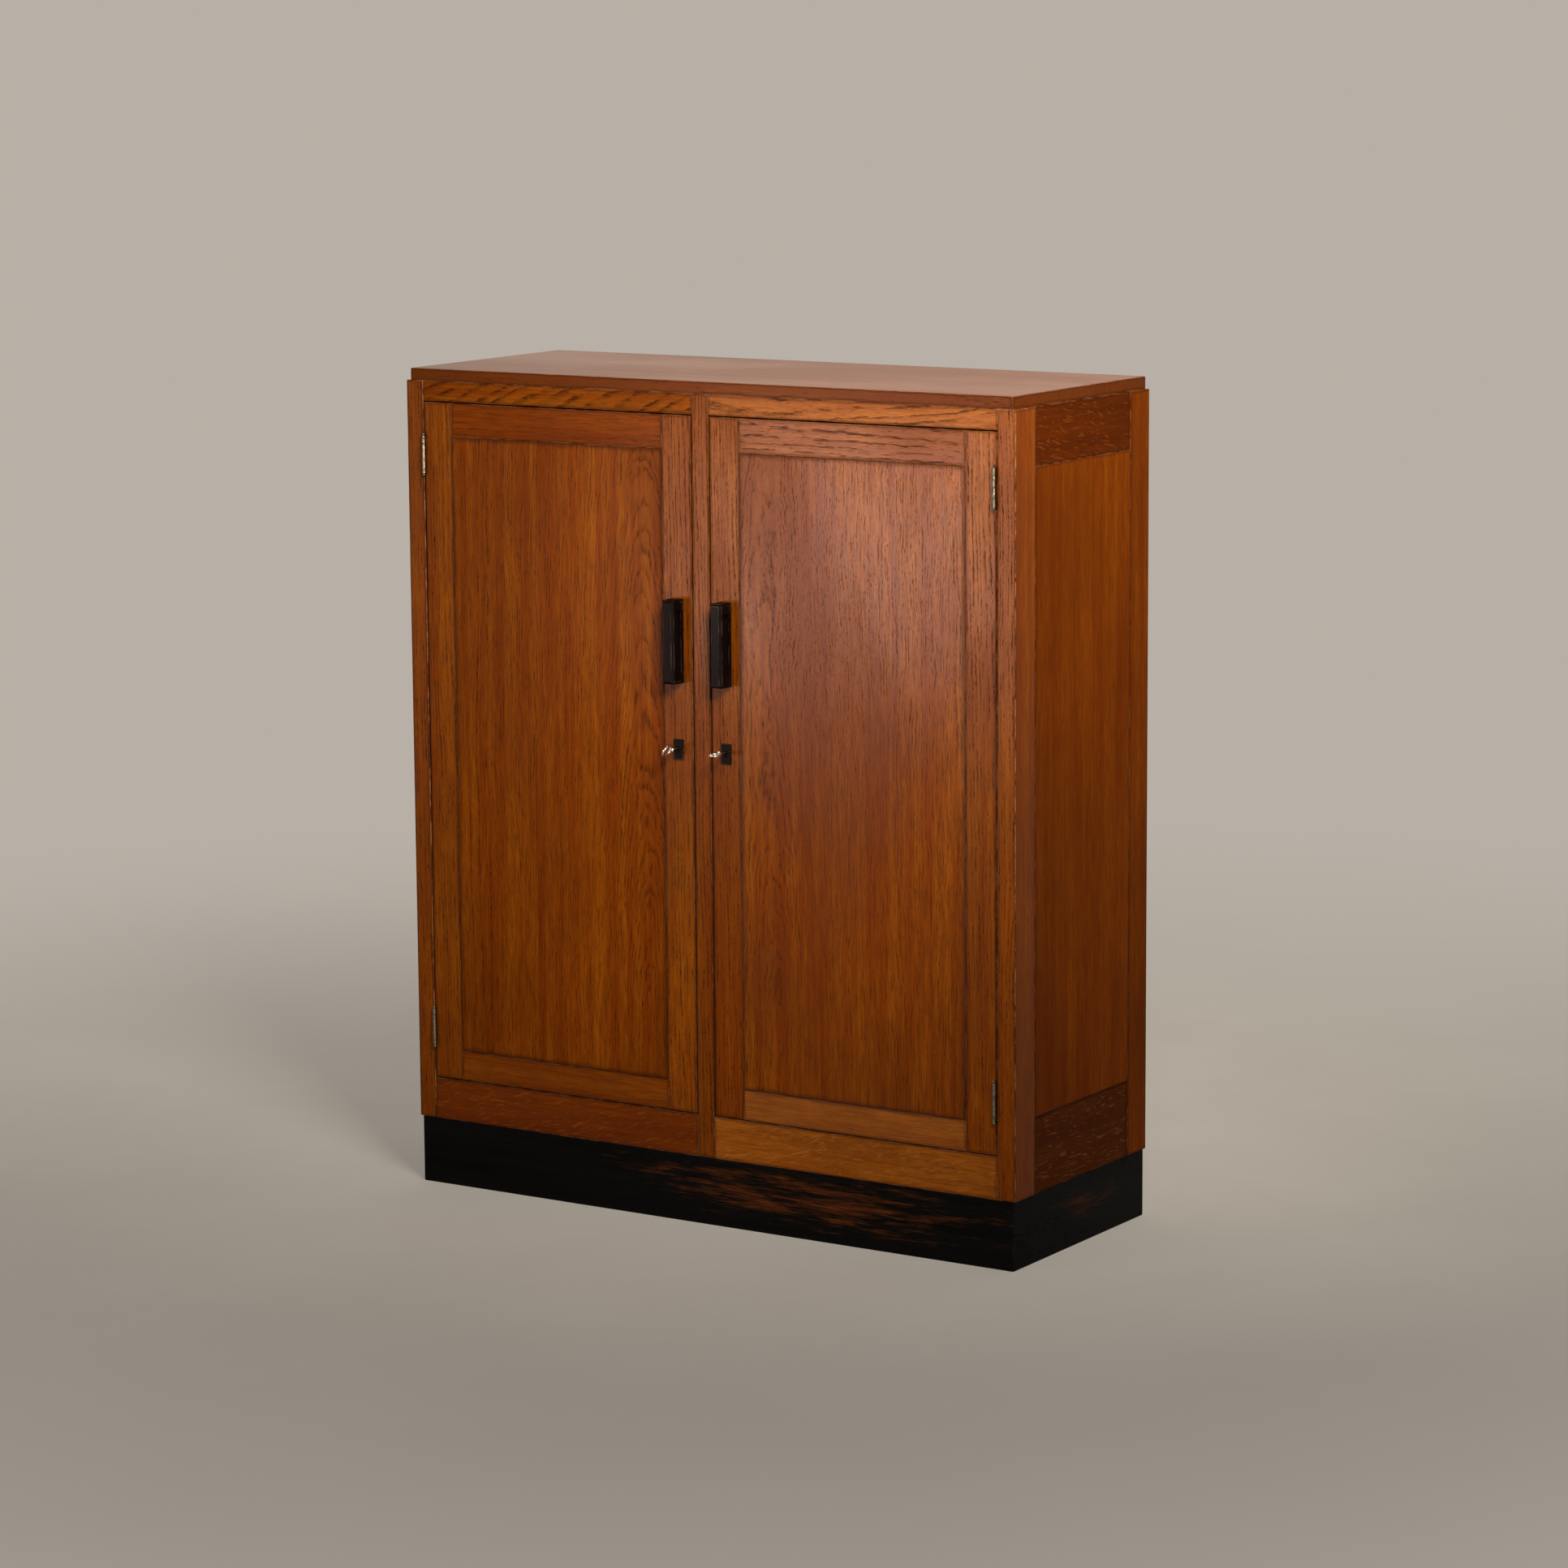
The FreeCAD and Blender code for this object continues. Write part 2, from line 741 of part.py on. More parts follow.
# Corner posts, with mortises and grooves where the rails and panels enter
for side_name, side in SIDES.items():
    across = (side * half, side * inner)
    label = f"post_front_{side_name}"
    tenons = [front_tenons(side, level)[0] for level in LEVELS]
    tenons += [side_tenons(side, level)[0] for level in LEVELS]
    tools = mortises(label, tenons) + [side_panel_seats[side_name]] + post_screw_holes[side_name]
    stock = block(f"{label}_stock", across, (front, front + dim.post_depth), full_height)
    keep_node(label, cut(f"{label}_cut", stock, tools))

    label = f"post_rear_{side_name}"
    tenons = [back_tenons(level)[list(SIDES).index(side_name)] for level in LEVELS]
    tenons += [side_tenons(side, level)[1] for level in LEVELS]
    tools = mortises(label, tenons) + [side_panel_seats[side_name], back_panel_seats[side_name]]
    stock = block(f"{label}_stock", across, (back - dim.post_depth, back), full_height)
    keep_node(label, cut(f"{label}_cut", stock, tools))

# Front rails, one length each side of the centre post
for side_name, side in SIDES.items():
    for level in LEVELS:
        room = ((side * inner, side * middle), front_rail_depth, FRONT_RAIL_HEIGHTS[level])
        framed_rail(f"front_{level}_rail_{side_name}", room, front_tenons(side, level), [])

# Partition behind the centre post, standing on the bottom board
partition_room = (
    about(0, dim.partition_thickness),
    (front + dim.centre_post_depth - dim.partition_tongue, back_rail_front),
    (floor_top, crown),
)
keep_node("partition", block("partition_board", *partition_room))

# Bottom board, notched round the posts
board_room = (
    (-(side_in - dim.board_play), side_in - dim.board_play),
    (rail_back, back_rail_front),
    (floor_low, floor_top),
)
board_notches = []
for side in SIDES.values():
    for depth in ((front, front + dim.post_depth), (back - dim.post_depth, back)):
        post_room = ((side * half, side * inner), depth, full_height)
        board_notches.append(socket("post_notch", post_room, dim.board_play))
centre_room = (about(0, dim.centre_post_width), (front, front + dim.centre_post_depth), full_height)
board_notches.append(socket("centre_post_notch", centre_room, dim.board_play))
keep_node("bottom_board", cut("bottom_board_cut", block("bottom_board_stock", *board_room), board_notches))

# Strips: a cleat at each side under the bottom board, a door stop behind each front top rail
strips = []
for side_name, side in SIDES.items():
    cleat_room = (
        (side * side_in, side * (side_in - dim.strip_section)),
        (front + dim.post_depth, back - dim.post_depth),
        (floor_low - dim.strip_section, floor_low),
    )
    strips.append(block(f"{side_name}_cleat", *cleat_room))
    stop_room = (
        (side * (inner - dim.strip_end_gap), side * (middle + dim.strip_end_gap)),
        (rail_back, rail_back + dim.strip_section),
        (door_high - dim.stop_overlap, door_high + dim.strip_section),
    )
    strips.append(block(f"{side_name}_stop", *stop_room))
keep_node("fixing_strips", group("strips", strips))

# Glue blocks between the top board and the front and back rails
top_blocks = []
bay = inner - middle
for side in SIDES.values():
    for number in range(1, SIZES["top_blocks_per_rail"] + 1):
        centre = side * (middle + bay * number / (dim.top_blocks_per_rail + 1))
        for face, way in ((rail_back, 1), (back_rail_front, -1)):
            depth = (face, face + way * dim.top_block_section)
            height = (crown - dim.top_block_section, crown)
            top_blocks.append(block("top_block", about(centre, dim.top_block_length), depth, height))
keep_node("top_blocks", group("top_block_set", top_blocks))

# Top board with an eased upper edge
top_body = new_body("top_board_body")
top_sketch = sketch_on(top_body, "XY_Plane", "top_board_outline")
top_across = (-(half - dim.top_side_inset), half - dim.top_side_inset)
outline(top_sketch, rectangle(top_across, (front + dim.top_front_inset, back)))
top_pad = pad(top_body, top_sketch, dim.top_thickness)
top_round = top_body.newObject("PartDesign::Fillet", "top_board_round")
top_round.Base = (top_pad, edges_at(top_pad, "z", dim.top_thickness))
bind(top_round, "Radius", dim.top_edge_round)
place(top_body, 0, 0, crown)
keep_node("top_board", top_body)

# Plinth: four boards mitred at the corners, with a glue block in each corner
plinth_x = half - dim.plinth_side_inset
plinth_y = (front + dim.plinth_front_inset, back)
outer_ring = rectangle((-plinth_x, plinth_x), plinth_y)
inner_x = plinth_x - dim.plinth_thickness
inner_y = (plinth_y[0] + dim.plinth_thickness, plinth_y[1] - dim.plinth_thickness)
inner_ring = rectangle((-inner_x, inner_x), inner_y)
corner_blocks = []
for index, label in enumerate(("plinth_front", "plinth_right", "plinth_rear", "plinth_left")):
    after = (index + 1) % len(outer_ring)
    board = new_body(f"{label}_body")
    board_sketch = sketch_on(board, "XY_Plane", f"{label}_outline")
    outline(board_sketch, [outer_ring[index], outer_ring[after], inner_ring[after], inner_ring[index]])
    pad(board, board_sketch, dim.plinth_height)
    keep_node(label, board)
for side in SIDES.values():
    for corner_y, way in zip(inner_y, (1, -1)):
        block_room = (
            (side * inner_x, side * (inner_x - dim.corner_block_section)),
            (corner_y, corner_y + way * dim.corner_block_section),
            (dim.corner_block_lift, base),
        )
        corner_blocks.append(block("corner_block", *block_room))
keep_node("plinth_corner_blocks", group("corner_block_set", corner_blocks))

# Toothed racks in the four corners of each bay, bearers in their teeth and shelves on the bearers
rack_length = crown - dim.rack_top_gap - floor_top
tooth_room = rack_length - dim.tooth_start - dim.tooth_height
tooth_count = whole(tooth_room / dim.rack_pitch) + 1
shelf_space = (crown - floor_top) / (dim.shelf_count + 1)
shelf_step = dim.rack_pitch * nearest(shelf_space / dim.rack_pitch)
rack_front_y = front + dim.centre_post_depth + dim.rack_front_gap
rack_rear_y = back_rail_front - dim.rack_rear_gap - dim.rack_width
bay_sides = {"outer": inner, "centre": dim.partition_thickness / 2}


def rack(name, x, y, teeth_way):
    """A standing rack whose teeth face forwards or backwards."""
    body = new_body(name)
    sketch = sketch_on(body, "YZ_Plane", f"{name}_outline")
    outline(sketch, rectangle((as_size(0), dim.rack_width), (as_size(0), rack_length)))
    stock = pad(body, sketch, dim.rack_thickness)
    mouth = dim.rack_width if teeth_way > 0 else as_size(0)
    ledge = (mouth - teeth_way * dim.tooth_depth, dim.tooth_start)
    tooth = sketch_on(body, "YZ_Plane", f"{name}_tooth")
    outline(tooth, [(mouth, dim.tooth_start), ledge, (mouth, dim.tooth_start + dim.tooth_height)])
    notch = pocket(body, tooth, 2 * (dim.rack_thickness + dim.tooth_overrun), stock)
    row_of_teeth = body.newObject("PartDesign::LinearPattern", f"{name}_teeth")
    row_of_teeth.Originals = [notch]
    row_of_teeth.Direction = (tooth, ["V_Axis"])
    row_of_teeth.Mode = "Spacing"
    bind(row_of_teeth, "Offset", dim.rack_pitch)
    bind(row_of_teeth, "Occurrences", tooth_count)
    body.Tip = row_of_teeth
    cuts_to_check.append((row_of_teeth, notch))
    place(body, x, y, floor_top)
    return body


def bearer(name, x, ledge_height):
    """A loose bearer whose slanted ends lie in two facing teeth."""
    body = new_body(name)
    sketch = sketch_on(body, "YZ_Plane", f"{name}_outline")
    entry = dim.tooth_depth - dim.bearer_play
    upper_entry = entry - dim.tooth_depth * dim.bearer_height / dim.tooth_height
    fore = rack_front_y + dim.rack_width
    corners = [
        (fore - entry, as_size(0)),
        (rack_rear_y + entry, as_size(0)),
        (rack_rear_y + upper_entry, dim.bearer_height),
        (fore - upper_entry, dim.bearer_height),
    ]
    outline(sketch, corners)
    pad(body, sketch, dim.rack_thickness)
    place(body, x, 0, ledge_height)
    return body


racks = []
bearers = []
shelves = []
for side_name, side in SIDES.items():
    notches = []
    bearer_places = []
    for bay_side, wall in bay_sides.items():
        inward = -1 if bay_side == "outer" else 1
        near = side * wall
        far = side * (wall + inward * dim.rack_thickness)
        low_x = near if near.value < far.value else far
        racks.append(rack(f"{side_name}_{bay_side}_front_rack", low_x, rack_front_y, 1))
        racks.append(rack(f"{side_name}_{bay_side}_rear_rack", low_x, rack_rear_y, -1))
        bearer_places.append(low_x)
        for depth in ((front, rack_front_y + dim.rack_width), (rack_rear_y, back)):
            notch_room = ((near, far), depth, full_height)
            notches.append(socket(f"{side_name}_{bay_side}_notch", notch_room, dim.shelf_play))
    for number in range(1, SIZES["shelf_count"] + 1):
        ledge_height = floor_top + dim.tooth_start + shelf_step * number
        for low_x in bearer_places:
            bearers.append(bearer(f"{side_name}_bearer", low_x, ledge_height))
        shelf_low = ledge_height + dim.bearer_height
        shelf_room = (
            (side * (inner - dim.shelf_play), side * (dim.partition_thickness / 2 + dim.shelf_play)),
            (front + dim.shelf_front_gap, back_rail_front - dim.shelf_play),
            (shelf_low, shelf_low + dim.shelf_thickness),
        )
        shelves.append(cut(f"{side_name}_shelf", block(f"{side_name}_shelf_stock", *shelf_room), notches))
keep_node("shelf_racks", group("rack_set", racks))
keep_node("shelf_bearers", group("bearer_set", bearers))
keep_node("shelves", group("shelf_set", shelves))

# Locks, keys, handles and escutcheons
key_height = door_low + dim.lock_rise
stile_middle = dim.door_stile_width / 2
lock_case_width = dim.door_stile_width - dim.panel_groove_depth - dim.lock_cheek
bolt_length = lock_case_width - dim.lock_wall - dim.bolt_back_room
bolt_front = door_back - dim.bolt_depth - dim.bolt_thickness
bolt_low = key_height + dim.bolt_rise
bolt_depth = (bolt_front, bolt_front + dim.bolt_thickness)
bolt_height = (bolt_low, bolt_low + dim.bolt_height)


def keyhole(name, x, depth):
    """A keyhole's room: a round hole for the shank and a slot below it for the bit."""
    radius = dim.key_radius + dim.keyhole_play
    length = depth[1] - depth[0]
    hole = rod(f"{name}_hole", radius, (x, depth[0], key_height), length, "y")
    slot_width = dim.key_bit_thickness + 2 * dim.keyhole_play
    slot_height = (key_height - dim.key_bit_radius - dim.keyhole_play, key_height)
    slot = block(f"{name}_slot", about(x, slot_width), depth, slot_height)
    return join(f"{name}_keyhole", [hole, slot])


def lock_rooms(side):
    """The outer rooms of a lock's case and of its flange."""
    lock_edge = door_edges(side)[1]
    across = (lock_edge, lock_edge + side * lock_case_width)
    height = (key_height - dim.lock_case_below, key_height + dim.lock_case_above)
    case = (across, (door_back - dim.lock_case_depth, door_back), height)
    flange = (across, (door_back - dim.lock_wall, door_back), grown(height, dim.lock_flange))
    return case, flange


def lock_screw_points(side):
    """Four screw points in the corners of a lock's flange."""
    case, flange = lock_rooms(side)
    inset = dim.lock_flange / 2
    across = (case[0][0] + side * inset, case[0][1] - side * inset)
    height = (flange[2][0] + inset, flange[2][1] - inset)
    return [(x, door_back, z) for x in across for z in height]


def lock_case(label, side, holes):
    """A lock's case: an open tray with a flange, and a slot for the bolt in its edge."""
    case, flange = lock_rooms(side)
    across = (case[0][0] + side * dim.lock_wall, case[0][1] - side * dim.lock_wall)
    hollow = (
        across,
        (case[1][0], door_back - dim.lock_wall),
        (case[2][0] + dim.lock_wall, case[2][1] - dim.lock_wall),
    )
    edge_room = ((case[0][0], across[0]), grown(bolt_depth, dim.bolt_play), grown(bolt_height, dim.bolt_play))
    tray = join(f"{label}_tray", [block(f"{label}_rim", *case), block(f"{label}_flange", *flange)])
    tools = [block(f"{label}_hollow", *hollow), block(f"{label}_bolt_slot", *edge_room)]
    return keep_node(label, cut(f"{label}_cut", tray, tools + holes))


def lock_bolt(label, side):
    """A lock bolt, withdrawn, with the talon that the key's bit turns in."""
    lock_edge = door_edges(side)[1]
    bar = block(f"{label}_bar", (lock_edge, lock_edge + side * bolt_length), bolt_depth, bolt_height)
    talon_centre = lock_edge + side * (stile_middle + dim.talon_lead)
    talon = block(
        f"{label}_talon",
        about(talon_centre, dim.talon_width),
        bolt_depth,
        (bolt_low, bolt_low + dim.talon_depth),
    )
    return keep_node(label, cut(f"{label}_cut", bar, [talon]))


def key(label, side, turn):
    """A key with a ring bow, standing in its lock and turned from upright."""
    tip = dim.door_thickness - dim.key_tip_gap
    neck = dim.escutcheon_thickness + dim.key_neck
    bow_centre = -(neck + dim.key_bow_radius + dim.key_bow_wire)
    shank = rod(f"{label}_shank", dim.key_radius, (0, -(neck + dim.key_bow_wire), 0), tip + neck, "y")
    collar = rod(f"{label}_collar", dim.key_collar_radius, (0, -neck, 0), dim.key_collar_length, "y")
    bow = doc.addObject("Part::Torus", f"{label}_bow")
    bow.Placement = FreeCAD.Placement(FreeCAD.Vector(), TURNS["x", 1])
    bind(bow, "Radius1", dim.key_bow_radius)
    bind(bow, "Radius2", dim.key_bow_wire)
    place(bow, 0, bow_centre, 0)
    bit_end = tip - dim.key_bit_set_back
    bit_depth = (bit_end - dim.key_bit_length, bit_end)
    bit = block(f"{label}_bit", about(0, dim.key_bit_thickness), bit_depth, (-dim.key_bit_radius, 0))
    ward_room = (
        about(0, dim.key_bit_thickness),
        about(middle_of(bit_depth), dim.key_ward_width),
        (-dim.key_bit_radius, dim.key_ward_depth - dim.key_bit_radius),
    )
    warded = cut(f"{label}_warded", bit, [block(f"{label}_ward", *ward_room)])
    made = join(f"{label}_joined", [shank, collar, bow, warded])
    made.Placement = FreeCAD.Placement(FreeCAD.Vector(), TURNS["x", 1])
    made.setExpression("Placement.Rotation.Angle", f"{(turn * -side).formula} * 1 deg")
    place(made, door_edges(side)[1] + side * stile_middle, door_front, key_height)
    return keep_node(label, made)


def handle(label, side, centre_height, holes):
    """A handle: a block chamfered round its front face, with a stopped finger groove in each side."""
    x = door_edges(side)[1] + side * stile_middle
    body = new_body(f"{label}_body")
    sketch = sketch_on(body, "XZ_Plane", f"{label}_outline")
    outline(sketch, rectangle(about(0, dim.handle_width), about(0, dim.handle_length)))
    bar = pad(body, sketch, dim.handle_reach)
    chamfer = body.newObject("PartDesign::Chamfer", f"{label}_chamfer")
    chamfer.Base = (bar, edges_at(bar, "y", -dim.handle_reach))
    bind(chamfer, "Size", dim.handle_chamfer)
    place(body, x, door_front, centre_height)
    groove_depth = (door_front - dim.handle_reach + dim.handle_bar, door_front - dim.handle_flange)
    groove_height = about(centre_height, dim.handle_length - 2 * dim.handle_foot)
    grooves = []
    for way in (-1, 1):
        groove_width = (x + way * dim.handle_web / 2, x + way * dim.handle_width / 2)
        grooves.append(block(f"{label}_groove", groove_width, groove_depth, groove_height))
    return keep_node(label, cut(f"{label}_cut", body, grooves + holes))


def escutcheon(label, side):
    """A keyhole plate with a chamfered face."""
    x = door_edges(side)[1] + side * stile_middle
    body = new_body(f"{label}_body")
    sketch = sketch_on(body, "XZ_Plane", f"{label}_outline")
    outline(sketch, rectangle(about(0, dim.escutcheon_width), about(0, dim.escutcheon_height)))
    plate = pad(body, sketch, dim.escutcheon_thickness)
    chamfer = body.newObject("PartDesign::Chamfer", f"{label}_chamfer")
    chamfer.Base = (plate, edges_at(plate, "y", -dim.escutcheon_thickness))
    bind(chamfer, "Size", dim.escutcheon_chamfer)
    place(body, x, door_front, key_height - dim.escutcheon_drop)
    hole = keyhole(label, x, (door_front - dim.escutcheon_thickness, door_front))
    return keep_node(label, cut(f"{label}_cut", body, [hole]))


# Keeps let into the centre post's sides, and the centre post with room for them and for the bolts
keeps = []
centre_tools = []
for side_name, side in SIDES.items():
    keep_face = (side * middle, side * (middle - dim.keep_thickness))
    keep_room = (
        keep_face,
        about(middle_of(bolt_depth), dim.keep_width),
        about(middle_of(bolt_height), dim.keep_height),
    )
    mouth = (grown(bolt_depth, dim.keep_play), grown(bolt_height, dim.keep_play))
    plate = block(f"{side_name}_keep_plate", *keep_room)
    keeps.append(cut(f"{side_name}_keep", plate, [block(f"{side_name}_keep_mouth", keep_face, *mouth)]))
    mortise = (side * middle, side * dim.centre_post_web)
    centre_tools.append(block(f"{side_name}_bolt_mortise", mortise, *mouth))
    centre_tools.append(socket(f"{side_name}_keep", keep_room, dim.mortise_play))
    tenons = [front_tenons(side, level)[1] for level in LEVELS]
    centre_tools += mortises(f"{side_name}_centre", tenons)
keep_node("lock_keeps", group("keep_pair", keeps))
centre_tools.append(socket("partition_groove", partition_room, dim.mortise_play))
keep_node("centre_post", cut("centre_post_cut", block("centre_post_stock", *centre_room), centre_tools))

# Doors: two stiles, two rails, a panel and the fittings of each
for side_name, side in SIDES.items():
    hinge_edge, lock_edge = door_edges(side)
    at_hinge, at_lock = door_rail_span(side)
    depth = (door_front, door_back)
    height = (door_low, door_high)
    clear = between_rails(DOOR_RAIL_HEIGHTS)
    tongue_face = door_front + dim.door_tongue_set_back
    tongue_room = (
        grown((at_hinge, at_lock), panel_entry),
        (tongue_face, tongue_face + dim.door_tongue_thickness),
        grown(clear, panel_entry),
    )
    field_room = (
        grown((at_hinge, at_lock), -dim.panel_gap),
        (door_front - dim.door_panel_proud, tongue_face),
        grown(clear, -dim.panel_gap),
    )
    panel_label = f"{side_name}_door_panel"
    rebated_panel(panel_label, tongue_room, field_room)
    seat = panel_seat(panel_label, tongue_room, "y")
    for level in LEVELS:
        rail_room = ((at_hinge, at_lock), depth, DOOR_RAIL_HEIGHTS[level])
        framed_rail(f"{side_name}_door_{level}_rail", rail_room, door_tenons(side, level), [seat])

    label = f"{side_name}_hinge_stile"
    tools = mortises(label, [door_tenons(side, level)[0] for level in LEVELS])
    tools += [seat, *hinge_stile_cuts[side_name]]
    stock = block(f"{label}_stock", (hinge_edge, at_hinge), depth, height)
    keep_node(label, cut(f"{label}_cut", stock, tools))
    keep_node(f"{side_name}_door_hinge_leaves", group(f"{side_name}_leaves", door_leaves[side_name]))

    handle_height = door_low + dim.handle_rise
    foot_offset = (dim.handle_length - dim.handle_foot) / 2
    handle_x = lock_edge + side * stile_middle
    handle_holes = []
    for way in (-1, 1):
        point = (handle_x, door_back, handle_height + way * foot_offset)
        name = f"{side_name}_handle_screw"
        door_screws[side_name].append(screw(name, point, "y", -1, dim.handle_screw_length))
        handle_holes.append(screw_hole(name, point, "y", -1, dim.handle_screw_length))
    lock_holes = []
    for point in lock_screw_points(side):
        name = f"{side_name}_lock_screw"
        door_screws[side_name].append(screw(name, point, "y", -1, dim.lock_screw_length))
        lock_holes.append(screw_hole(name, point, "y", -1, dim.lock_screw_length))
    keep_node(f"{side_name}_door_screws", group(f"{side_name}_screws", door_screws[side_name]))

    label = f"{side_name}_lock_stile"
    tools = mortises(label, [door_tenons(side, level)[1] for level in LEVELS])
    tools += [seat, *handle_holes, *lock_holes]
    tools += [socket(f"{label}_lock", room, dim.lock_play) for room in lock_rooms(side)]
    tools.append(keyhole(label, lock_edge + side * stile_middle, depth))
    stock = block(f"{label}_stock", (lock_edge, at_lock), depth, height)
    keep_node(label, cut(f"{label}_cut", stock, tools))

    lock_case(f"{side_name}_lock_case", side, lock_holes)
    lock_bolt(f"{side_name}_lock_bolt", side)
    handle(f"{side_name}_handle", side, handle_height, handle_holes)
    escutcheon(f"{side_name}_escutcheon", side)
    key(f"{side_name}_key", side, getattr(dim, f"{side_name}_key_turn"))

# Checks before anything is written
doc.recompute()
faults = [item.Label for item in doc.Objects if {"Invalid", "Error"} & set(item.State)]
faults += [label for label, item in nodes.items() if item.Shape.isNull() or not item.Shape.isValid()]
for result, start in cuts_to_check:
    if not result.Shape.Volume < start.Shape.Volume:
        faults.append(f"{result.Label} takes nothing away")
if faults:
    raise RuntimeError(f"these objects failed: {faults}")

os.makedirs("parts", exist_ok=True)
for label, item in nodes.items():
    item.Shape.exportStep(f"parts/{label}.step")
    print(f"{label}: {len(item.Shape.Solids)} solid(s), {item.Shape.Volume:.0f} mm3")
print(f"{len(nodes)} sub-parts written")
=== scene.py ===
# %% [markdown]
# # The looks of an oak archive cabinet
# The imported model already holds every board, hinge, lock and key at its true size and place. This lesson
# gives those pieces their looks: eased edges, oak with its growth rings and pores, ebonised wood, steel and
# nickel. Pieces could be dragged into place by hand, but then the three tools would disagree. The frame is
# fixed and no piece may be moved, so we only add modifiers and materials.

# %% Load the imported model
import math
from collections import namedtuple

import bpy
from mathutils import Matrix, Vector


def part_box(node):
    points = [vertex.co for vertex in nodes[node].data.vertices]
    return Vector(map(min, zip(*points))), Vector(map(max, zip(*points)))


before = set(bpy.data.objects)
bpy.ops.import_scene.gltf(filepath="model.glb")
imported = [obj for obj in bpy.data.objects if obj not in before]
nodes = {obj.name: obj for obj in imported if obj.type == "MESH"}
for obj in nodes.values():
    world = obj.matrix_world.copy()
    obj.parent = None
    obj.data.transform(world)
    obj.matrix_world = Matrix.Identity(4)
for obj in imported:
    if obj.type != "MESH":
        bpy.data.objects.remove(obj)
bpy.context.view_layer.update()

# %% [markdown]
# ## Camera
# The photograph was taken with a long lens from the right, about nine metres away and above the top board.
# One could aim a camera by eye. Here its place, turn and lens come from matching the cabinet's corners in
# the picture, so that the render's corners fall within a few pixels of the photograph's.

# %% Camera
camera_lens = bpy.data.cameras.new("camera")
camera_lens.sensor_width = 36.0
camera_lens.lens = 113.95
camera_lens.clip_end = 400.0
camera = bpy.data.objects.new("camera", camera_lens)
camera.location = (4.7672, -7.3410, 2.2242)
camera.rotation_euler = [math.radians(turn) for turn in (80.533, 0.396, 32.736)]
bpy.context.scene.collection.objects.link(camera)
bpy.context.scene.camera = camera
print("camera", round(camera.location.length, 2), "m from the cabinet's foot")

# %% [markdown]
# ## Node helpers
# Materials in Blender are graphs of nodes. Adding each node by hand takes four or five lines, so a few
# small helpers come first: some add nodes and fill their sockets, the others are shorthands for the sums,
# mixes, fades and noises that wood needs. A socket takes either a plain value or the output of another
# node.

# %% Nodes and sums
# A picture's levels run to 255. The standard curve is straight near black, and a power above that.
FULL_LEVEL = 255
STRAIGHT_END, STRAIGHT_SLOPE, CURVE_OFFSET, CURVE_POWER = 0.04045, 12.92, 0.055, 2.4


def light(level):
    """One level of a picture as the light that Blender mixes."""
    share = level / FULL_LEVEL
    if share <= STRAIGHT_END:
        return share / STRAIGHT_SLOPE
    return ((share + CURVE_OFFSET) / (1 + CURVE_OFFSET)) ** CURVE_POWER


def srgb(red, green, blue):
    """A picture's colour as a colour for a socket."""
    return (light(red), light(green), light(blue), 1.0)


def fill(tree, socket, value):
    """Links a socket to another node's output, or gives it a plain value."""
    if isinstance(value, bpy.types.NodeSocket):
        tree.links.new(value, socket)
    else:
        socket.default_value = value


def put(tree, kind, sockets=None, **settings):
    """Adds a shader node, sets its options and fills its sockets."""
    made = tree.nodes.new("ShaderNode" + kind)
    for name, value in settings.items():
        setattr(made, name, value)
    for name, value in (sockets or {}).items():
        fill(tree, made.inputs[name], value)
    return made


def reckon(tree, operation, *values):
    """One sum on numbers."""
    made = put(tree, "Math", operation=operation)
    for socket, value in zip(made.inputs, values):
        fill(tree, socket, value)
    return made.outputs[0]


def plus(tree, first, second):
    """Two numbers added."""
    return reckon(tree, "ADD", first, second)


def minus(tree, first, second):
    """The second number taken from the first."""
    return reckon(tree, "SUBTRACT", first, second)


def times(tree, first, second):
    """Two numbers multiplied."""
    return reckon(tree, "MULTIPLY", first, second)


def vectors(tree, operation, first, second=None):
    """One sum on vectors."""
    made = put(tree, "VectorMath", operation=operation)
    fill(tree, made.inputs[0], first)
    if second is not None:
        fill(tree, made.inputs[1], second)
    return made.outputs["Value" if operation == "LENGTH" else "Vector"]


print("middle grey as light:", [round(part, 3) for part in srgb(128, 128, 128)])

# %% Mixes, fades and noise
# The Mix node has sockets of every kind under the same names, so its colours go by their numbers.
MIX_UNDER, MIX_OVER, MIX_RESULT = 6, 7, 2
# Noise lies between nought and one, around its middle.
NOISE_MIDDLE = 0.5


def mixed(tree, amount, under, over):
    """Lays one colour over another by a mask."""
    made = put(tree, "Mix", data_type="RGBA")
    fill(tree, made.inputs["Factor"], amount)
    fill(tree, made.inputs[MIX_UNDER], under)
    fill(tree, made.inputs[MIX_OVER], over)
    return made.outputs[MIX_RESULT]


def faded(tree, value, low, high, start=0.0, end=1.0):
    """A soft step: start below low, end above high."""
    made = put(tree, "MapRange", interpolation_type="SMOOTHSTEP")
    labels = ("Value", "From Min", "From Max", "To Min", "To Max")
    for label, number in zip(labels, (value, low, high, start, end)):
        fill(tree, made.inputs[label], number)
    return made.outputs["Result"]


def cloudy(tree, place, stretch, detail=2.0, rough=0.5, output="Fac"):
    """Noise whose grains are 1/stretch metres long on each axis."""
    spread = vectors(tree, "MULTIPLY", place, stretch)
    made = put(tree, "TexNoise", {"Vector": spread, "Scale": 1.0, "Detail": detail, "Roughness": rough})
    return made.outputs[output]


def new_finish(name):
    """An empty material. Returns it with its node tree and the place of each point on the piece."""
    finish = bpy.data.materials.new(name)
    finish.use_nodes = True
    tree = finish.node_tree
    tree.nodes.clear()
    return finish, tree, put(tree, "TexCoord").outputs["Object"]


print("helpers ready, noise around", NOISE_MIDDLE)

